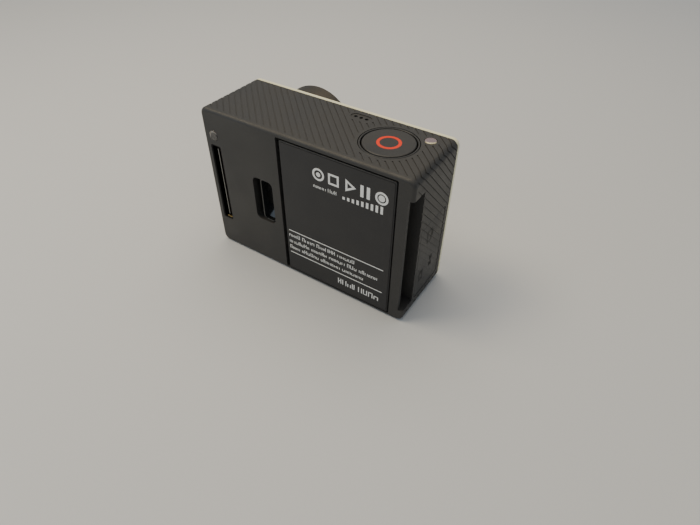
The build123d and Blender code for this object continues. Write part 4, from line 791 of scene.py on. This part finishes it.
class ACTIONCAM_OT_display_face(bpy.types.Operator):
    """Display face under the window: grey-green field, black mask, plain signs and digits"""

    bl_idname = "actioncam.display_face"
    bl_label = "Display Face"

    def execute(self, context):
        low, high = corners("lcd_module")
        front = low.y - 0.04 * MM
        rim = 1.3 * MM
        field = plate((low.x + rim, front, low.z + rim),
                      (high.x - rim, low.y, high.z - rim), 0.2 * MM)
        finish_piece(field, "display_field", self.field_material(), BODY)
        mask = plate((low.x, front, low.z), (high.x, front + 0.03 * MM, high.z))
        self.open_mask(mask, rim)
        finish_piece(mask, "display_mask", ink("mask_black", (0.006, 0.006, 0.006), 0.3), BODY)
        self.signs(low, high, front, rim)
        return {"FINISHED"}

    def field_material(self):
        """Grey-green liquid crystal behind its film."""
        material, tree, shader = blank_material("display_field", (0.30, 0.33, 0.26), 0.3)
        cloud = noise(tree, 3 * MM, 2.0)
        tree.links.new(blended(tree, cloud, (0.27, 0.30, 0.23), (0.33, 0.36, 0.29)),
                       shader.inputs["Base Color"])
        bumped(tree, shader, noise(tree, 0.1 * MM, 1.0), 0.004 * MM)
        return material

    def open_mask(self, mask, rim):
        """Insets the front of the mask and opens it, which leaves a frame."""
        bpy.context.view_layer.objects.active = mask
        bpy.ops.object.mode_set(mode="EDIT")
        bpy.ops.mesh.select_mode(type="FACE")
        bpy.ops.mesh.select_all(action="DESELECT")
        bpy.ops.object.mode_set(mode="OBJECT")
        for face in mask.data.polygons:
            face.select = abs(face.normal.y) > 0.9
        bpy.ops.object.mode_set(mode="EDIT")
        bpy.ops.mesh.inset(thickness=rim, use_individual=True)
        bpy.ops.mesh.bridge_edge_loops()
        bpy.ops.object.mode_set(mode="OBJECT")

    def signs(self, low, high, front, rim):
        """Four digits with a colon, a battery gauge and a small lens-and-body sign."""
        thick = 0.02 * MM
        middle = (low + high) / 2
        y = front - thick / 2
        places = []
        step, tall = 2.3 * MM, 3.2 * MM
        line, dot, colon_room = 2.5, 0.36 * MM, 0.35 * MM
        for i, number in enumerate("0123"):
            x = middle.x + (i - 1.5) * step + (colon_room if i > 1 else -colon_room)
            places += digit(Vector((x, y, low.z + rim + line * MM)), tall, SEGMENTS[number], thick)
        for level in (-0.6, 0.6):
            places.append((Vector((middle.x, y, low.z + rim + (line + level) * MM)),
                           Vector((dot, thick, dot))))
        top, right, left = high.z - rim - 1.6 * MM, high.x - rim, low.x + rim
        gauge, frame_line = 2.35, 0.18 * MM
        for i in range(3):
            places.append((Vector((right - (1.6 + 0.75 * i) * MM, y, top)),
                           Vector((0.5 * MM, thick, 1.0 * MM))))
        for side in (-1, 1):
            places.append((Vector((right - gauge * MM, y, top + side * 0.8 * MM)),
                           Vector((2.9 * MM, thick, frame_line))))
            places.append((Vector((right - (gauge - side * 1.4) * MM, y, top)),
                           Vector((frame_line, thick, 1.7 * MM))))
        for across, wide, high_part in ((2.0, 2.0, 1.4), (3.5, 0.6, 0.8)):
            places.append((Vector((left + across * MM, y, top)),
                           Vector((wide * MM, thick, high_part * MM))))
        finish_piece(bars(places), "display_signs", ink("display_dark", (0.02, 0.025, 0.02), 0.4),
                     BODY)


class ACTIONCAM_OT_front_marks(bpy.types.Operator):
    """Plain signs on the front cover beside the keys and the lights"""

    bl_idname = "actioncam.front_marks"
    bl_label = "Front Marks"

    def execute(self, context):
        thick = context.scene.actioncam_print.ink_thickness
        face = COVER_LOW.y - thick / 2
        low, high = corners("power_button")
        x, z = (low.x + high.x) / 2, high.z + 0.4 * MM
        grey = ink("ink_grey", (0.05, 0.05, 0.05), 0.45)
        mark = [outline((x, face, z + 1.3 * MM), 0.8 * MM, 0.18 * MM, thick),
                bars([((x, face, z + 2.0 * MM), (0.2 * MM, thick, 1.0 * MM))])]
        low, high = corners("front_light_guides")
        guide_radius = 0.9 * MM
        for x in (low.x + guide_radius, high.x - guide_radius):
            mark.append(outline((x, face, high.z - guide_radius), 1.35 * MM, 0.12 * MM, thick))
        finish_piece(joined(mark), "front_marks", grey, BODY)
        return {"FINISHED"}


# ---------------------------------------------------------------- battery, card and sockets

class ACTIONCAM_OT_battery_print(bpy.types.Operator):
    """Printed field, signs and rows of marks on the battery"""

    bl_idname = "actioncam.battery_print"
    bl_label = "Battery Print"

    def execute(self, context):
        thick = context.scene.actioncam_print.ink_thickness
        low, high = corners("battery")
        face = high.y
        field = plate((low.x + 2 * MM, face, low.z + 16.5 * MM),
                      (high.x - 2 * MM, face + thick, high.z - 2 * MM), 1.0 * MM)
        finish_piece(field, "battery_label", printed_film("battery_film", (0.10, 0.10, 0.11)),
                     BATTERY)
        chance = random.Random(4)
        places = []
        for row in range(5):
            x = high.x - 4 * MM
            z = high.z - (9.0 + 1.7 * row) * MM
            while x > low.x + (6 + chance.uniform(0, 6)) * MM:
                wide = chance.uniform(0.8, 2.6) * MM
                places.append((Vector((x - wide / 2, face + 1.5 * thick, z)),
                               Vector((wide, thick, 0.55 * MM))))
                x -= wide + 0.5 * MM
        plus = Vector((high.x - 5 * MM, face + 1.5 * thick, high.z - 5 * MM))
        places += [(plus, Vector((2.4 * MM, thick, 0.5 * MM))),
                   (plus, Vector((0.5 * MM, thick, 2.4 * MM))),
                   (plus - Vector((4 * MM, 0, 0)), Vector((2.4 * MM, thick, 0.5 * MM)))]
        white = ink("battery_ink", (0.75, 0.75, 0.74))
        finish_piece(bars(places), "battery_marks", white, BATTERY)
        return {"FINISHED"}


class ACTIONCAM_OT_socket_contacts(bpy.types.Operator):
    """Gold contacts in the two sockets; the tongue's edge and end spring of the accessory port"""

    bl_idname = "actioncam.socket_contacts"
    bl_label = "Socket Contacts"

    def execute(self, context):
        gold = worked_metal("socket_gold", (0.90, 0.66, 0.28), 0.25, (0.3, 1, 1), 0.001 * MM)
        places = []
        for node, count, tongue in (("hdmi_socket", 10, 0.6), ("usb_socket", 5, 0.8)):
            low, high = corners(node)
            y = (low.y + high.y) / 2
            wide = (high.z - low.z) * 0.54
            for i in range(count):
                z = (low.z + high.z) / 2 + wide * ((i + 0.5) / count - 0.5)
                for side in (-1, 1):
                    face = y + side * (tongue / 2 + 0.02) * MM
                    places.append((Vector((low.x + 3.0 * MM, face, z)),
                                   Vector((4.2 * MM, 0.04 * MM, wide / count * 0.55))))
        finish_piece(bars(places), "socket_contacts", gold, BODY)
        low, high = corners("expansion_connector")
        middle, face = (low.x + high.x) / 2, high.y - 0.5 * MM
        blade = plate((middle - 0.09 * MM, face, low.z + 1.2 * MM),
                      (middle + 0.09 * MM, face + 0.06 * MM, high.z - 1.2 * MM), 0.07 * MM)
        edge = worked_metal("port_blade_steel", (0.34, 0.34, 0.33), 0.34, (1, 1, 0.1))
        finish_piece(blade, "port_blade_edge", edge, BODY)
        spring = plate((low.x + 0.45 * MM, face - 0.1 * MM, low.z + 0.32 * MM),
                       (high.x - 0.9 * MM, face + 0.3 * MM, low.z + 0.62 * MM), 0.12 * MM)
        finish_piece(spring, "port_end_spring", gold, BODY)
        return {"FINISHED"}


class ACTIONCAM_OT_latch_rim_painted_highlight(bpy.types.Operator):
    """Painted highlight: a grey bead on the three lit sides of the latch cup's rim; the shaded
    left side gets none
    """

    bl_idname = "actioncam.latch_rim"
    bl_label = "Latch Rim Painted Highlight"

    def execute(self, context):
        low, high = corners("latch_cup")
        wide, thick, corner = 0.16 * MM, 0.06 * MM, 1.1 * MM
        face = high.y + thick / 2
        inset = 0.24 * MM
        tall = high.z - low.z - 2 * corner
        across = high.x - low.x - 2 * corner
        middle = (low + high) / 2
        places = [
            (Vector((low.x + inset, face, middle.z)), Vector((wide, thick, tall))),
            (Vector((middle.x, face, high.z - inset)), Vector((across, thick, wide))),
            (Vector((middle.x, face, low.z + inset)), Vector((across, thick, wide))),
        ]
        # Painted highlight: these light grey bars stand for the lit edges of the rim, not a real
        # part.
        grey = gloss_plastic("latch_rim_painted_highlight_grey", (0.10, 0.10, 0.10), 0.30)
        rim = bars(places)
        apply_modifier(rim, "BEVEL", width=0.02 * MM, segments=2)
        finish_piece(rim, "latch_rim", grey, BODY)
        return {"FINISHED"}


# ---------------------------------------------------------------- small parts on the boards

class ACTIONCAM_OT_board_parts(bpy.types.Operator):
    """Small capacitors with tinned ends on the main board"""

    bl_idname = "actioncam.board_parts"
    bl_label = "Board Parts"

    def execute(self, context):
        chance = random.Random(11)
        low, high = corners("main_board")
        can_high = corners("shield_can")[1]
        bodies, ends = [], []
        tries, clear, tin_wide, tin_deep = 46, 1.3 * MM, 0.22, 0.44
        for _ in range(tries):
            x = chance.uniform(can_high.x + 1.5 * MM, high.x - 9 * MM)
            z = chance.uniform(low.z + 5 * MM, low.z + 10.5 * MM)
            wide, tall = (0.5, 1.0) if chance.random() < 0.5 else (1.0, 0.5)
            if any(abs(x - c.x) < clear and abs(z - c.z) < clear for c, _ in bodies):
                continue
            centre = Vector((x, low.y - 0.25 * MM, z))
            bodies.append((centre, Vector((wide * MM, 0.4 * MM, tall * MM))))
            if wide > tall:
                offset = Vector((0.4 * MM, 0, 0))
                cap = Vector((tin_wide, tin_deep, tall + 0.04))
            else:
                offset = Vector((0, 0, 0.4 * MM))
                cap = Vector((wide + 0.04, tin_deep, tin_wide))
            ends += [(centre + offset, cap * MM), (centre - offset, cap * MM)]
        brown = moulded_plastic("capacitor_body", (0.20, 0.12, 0.07), 0.1 * MM, 0.4, 0.1)
        tin = worked_metal("capacitor_ends", (0.75, 0.75, 0.74), 0.3)
        finish_piece(bars(bodies), "board_capacitors", brown, BODY)
        finish_piece(bars(ends), "board_capacitor_ends", tin, BODY)
        return {"FINISHED"}


# ---------------------------------------------------------------- stage

class ACTIONCAM_OT_stage(bpy.types.Operator):
    """Plain pale floor, soft studio light and the camera"""

    bl_idname = "actioncam.stage"
    bl_label = "Stage"

    def execute(self, context):
        settings = context.scene.actioncam_stage
        self.floor(settings)
        self.lights(context, settings)
        self.camera(context, settings)
        return {"FINISHED"}

    def floor(self, settings):
        """A wide sheet of pale paper just under the object."""
        start_clean()
        bpy.ops.mesh.primitive_grid_add(x_subdivisions=8, y_subdivisions=8, size=4.0,
                                        location=(0, 0, CASE_LOW.z - 0.02 * MM))
        piece = bpy.context.object
        bpy.ops.object.transform_apply(location=True, rotation=True, scale=True)
        material, tree, shader = blank_material("floor_paper", tuple(settings.floor_colour), 0.8)
        fibres = noise(tree, 0.6 * MM, 3.0)
        tone = tuple(settings.floor_colour)
        tree.links.new(blended(tree, fibres, shade(tone, 0.985), shade(tone, 1.015)),
                       shader.inputs["Base Color"])
        piece.name = "floor"
        piece.data.materials.append(material)

    def lights(self, context, settings):
        """Sky light from all round, and four square soft lights."""
        world = bpy.data.worlds.new("studio")
        world.use_nodes = True
        background = world.node_tree.nodes["Background"]
        background.inputs["Color"].default_value = (0.80, 0.90, 1.0, 1.0)
        background.inputs["Strength"].default_value = 0.38
        context.scene.world = world
        self.area("key", settings.key_power, 0.34, (0.06, -0.12, 0.42), (1.0, 0.84, 0.62))
        self.area("fill", settings.fill_power, 0.14, (0.16, 0.18, 0.12), (0.66, 0.82, 1.0))
        self.area("rim", settings.rim_power, 0.16, (0.19, 0.10, 0.38), (1.0, 0.84, 0.58))
        self.area("side", settings.side_power, 0.14, (-0.30, 0.22, 0.38), (1.0, 0.90, 0.72))

    def area(self, name, power, size, place, colour):
        """A square soft light that faces the object."""
        data = bpy.data.lights.new(name, "AREA")
        data.energy, data.size, data.color = power, size, colour
        light = bpy.data.objects.new(name, data)
        bpy.context.scene.collection.objects.link(light)
        light.location = place
        middle = Vector((0, 0, 0.02))
        light.rotation_mode = "QUATERNION"
        light.rotation_quaternion = (middle - Vector(place)).to_track_quat("-Z", "Y")

    def camera(self, context, settings):
        """The camera, from its bearing, height, roll and distance to its aim."""
        data = bpy.data.cameras.new("camera")
        data.sensor_width = 36.0
        data.lens = settings.focal_length
        data.clip_start, data.clip_end = 0.005, 20.0
        camera = bpy.data.objects.new("camera", data)
        context.scene.collection.objects.link(camera)
        a, e = settings.azimuth, settings.elevation
        back = Vector((math.sin(a) * math.cos(e), -math.cos(a) * math.cos(e), math.sin(e)))
        camera.location = Vector(settings.aim) + back * settings.distance
        camera.rotation_mode = "QUATERNION"
        straight = (-back).to_track_quat("-Z", "Y")
        camera.rotation_quaternion = straight @ Quaternion((0, 0, 1), settings.roll)
        context.scene.camera = camera


# ---------------------------------------------------------------- panel and registration

STEPS = (
    ACTIONCAM_OT_case_finish,
    ACTIONCAM_OT_lens_finish,
    ACTIONCAM_OT_inner_finish,
    ACTIONCAM_OT_label_print,
    ACTIONCAM_OT_door_inside,
    ACTIONCAM_OT_port_signs,
    ACTIONCAM_OT_display_face,
    ACTIONCAM_OT_front_marks,
    ACTIONCAM_OT_battery_print,
    ACTIONCAM_OT_socket_contacts,
    ACTIONCAM_OT_latch_rim_painted_highlight,
    ACTIONCAM_OT_board_parts,
    ACTIONCAM_OT_stage,
)


class ACTIONCAM_PT_looks(bpy.types.Panel):
    """Sidebar panel with the settings and the steps"""

    bl_label = "Action Camera"
    bl_idname = "ACTIONCAM_PT_looks"
    bl_space_type = "VIEW_3D"
    bl_region_type = "UI"
    bl_category = "Action Camera"

    def draw(self, context):
        layout = self.layout
        for name in ("actioncam_finish", "actioncam_print", "actioncam_stage"):
            settings = getattr(context.scene, name)
            box = layout.box()
            for key in settings.__annotations__:
                box.prop(settings, key)
        for step in STEPS:
            layout.operator(step.bl_idname)


CLASSES = (FinishSettings, PrintSettings, StageSettings, *STEPS, ACTIONCAM_PT_looks)


def register():
    for cls in CLASSES:
        bpy.utils.register_class(cls)
    bpy.types.Scene.actioncam_finish = bpy.props.PointerProperty(type=FinishSettings)
    bpy.types.Scene.actioncam_print = bpy.props.PointerProperty(type=PrintSettings)
    bpy.types.Scene.actioncam_stage = bpy.props.PointerProperty(type=StageSettings)


def unregister():
    del bpy.types.Scene.actioncam_stage
    del bpy.types.Scene.actioncam_print
    del bpy.types.Scene.actioncam_finish
    for cls in reversed(CLASSES):
        bpy.utils.unregister_class(cls)


def main():
    register()
    for step in STEPS:
        group, name = step.bl_idname.split(".")
        getattr(getattr(bpy.ops, group), name)()


if __name__ == "__main__":
    main()
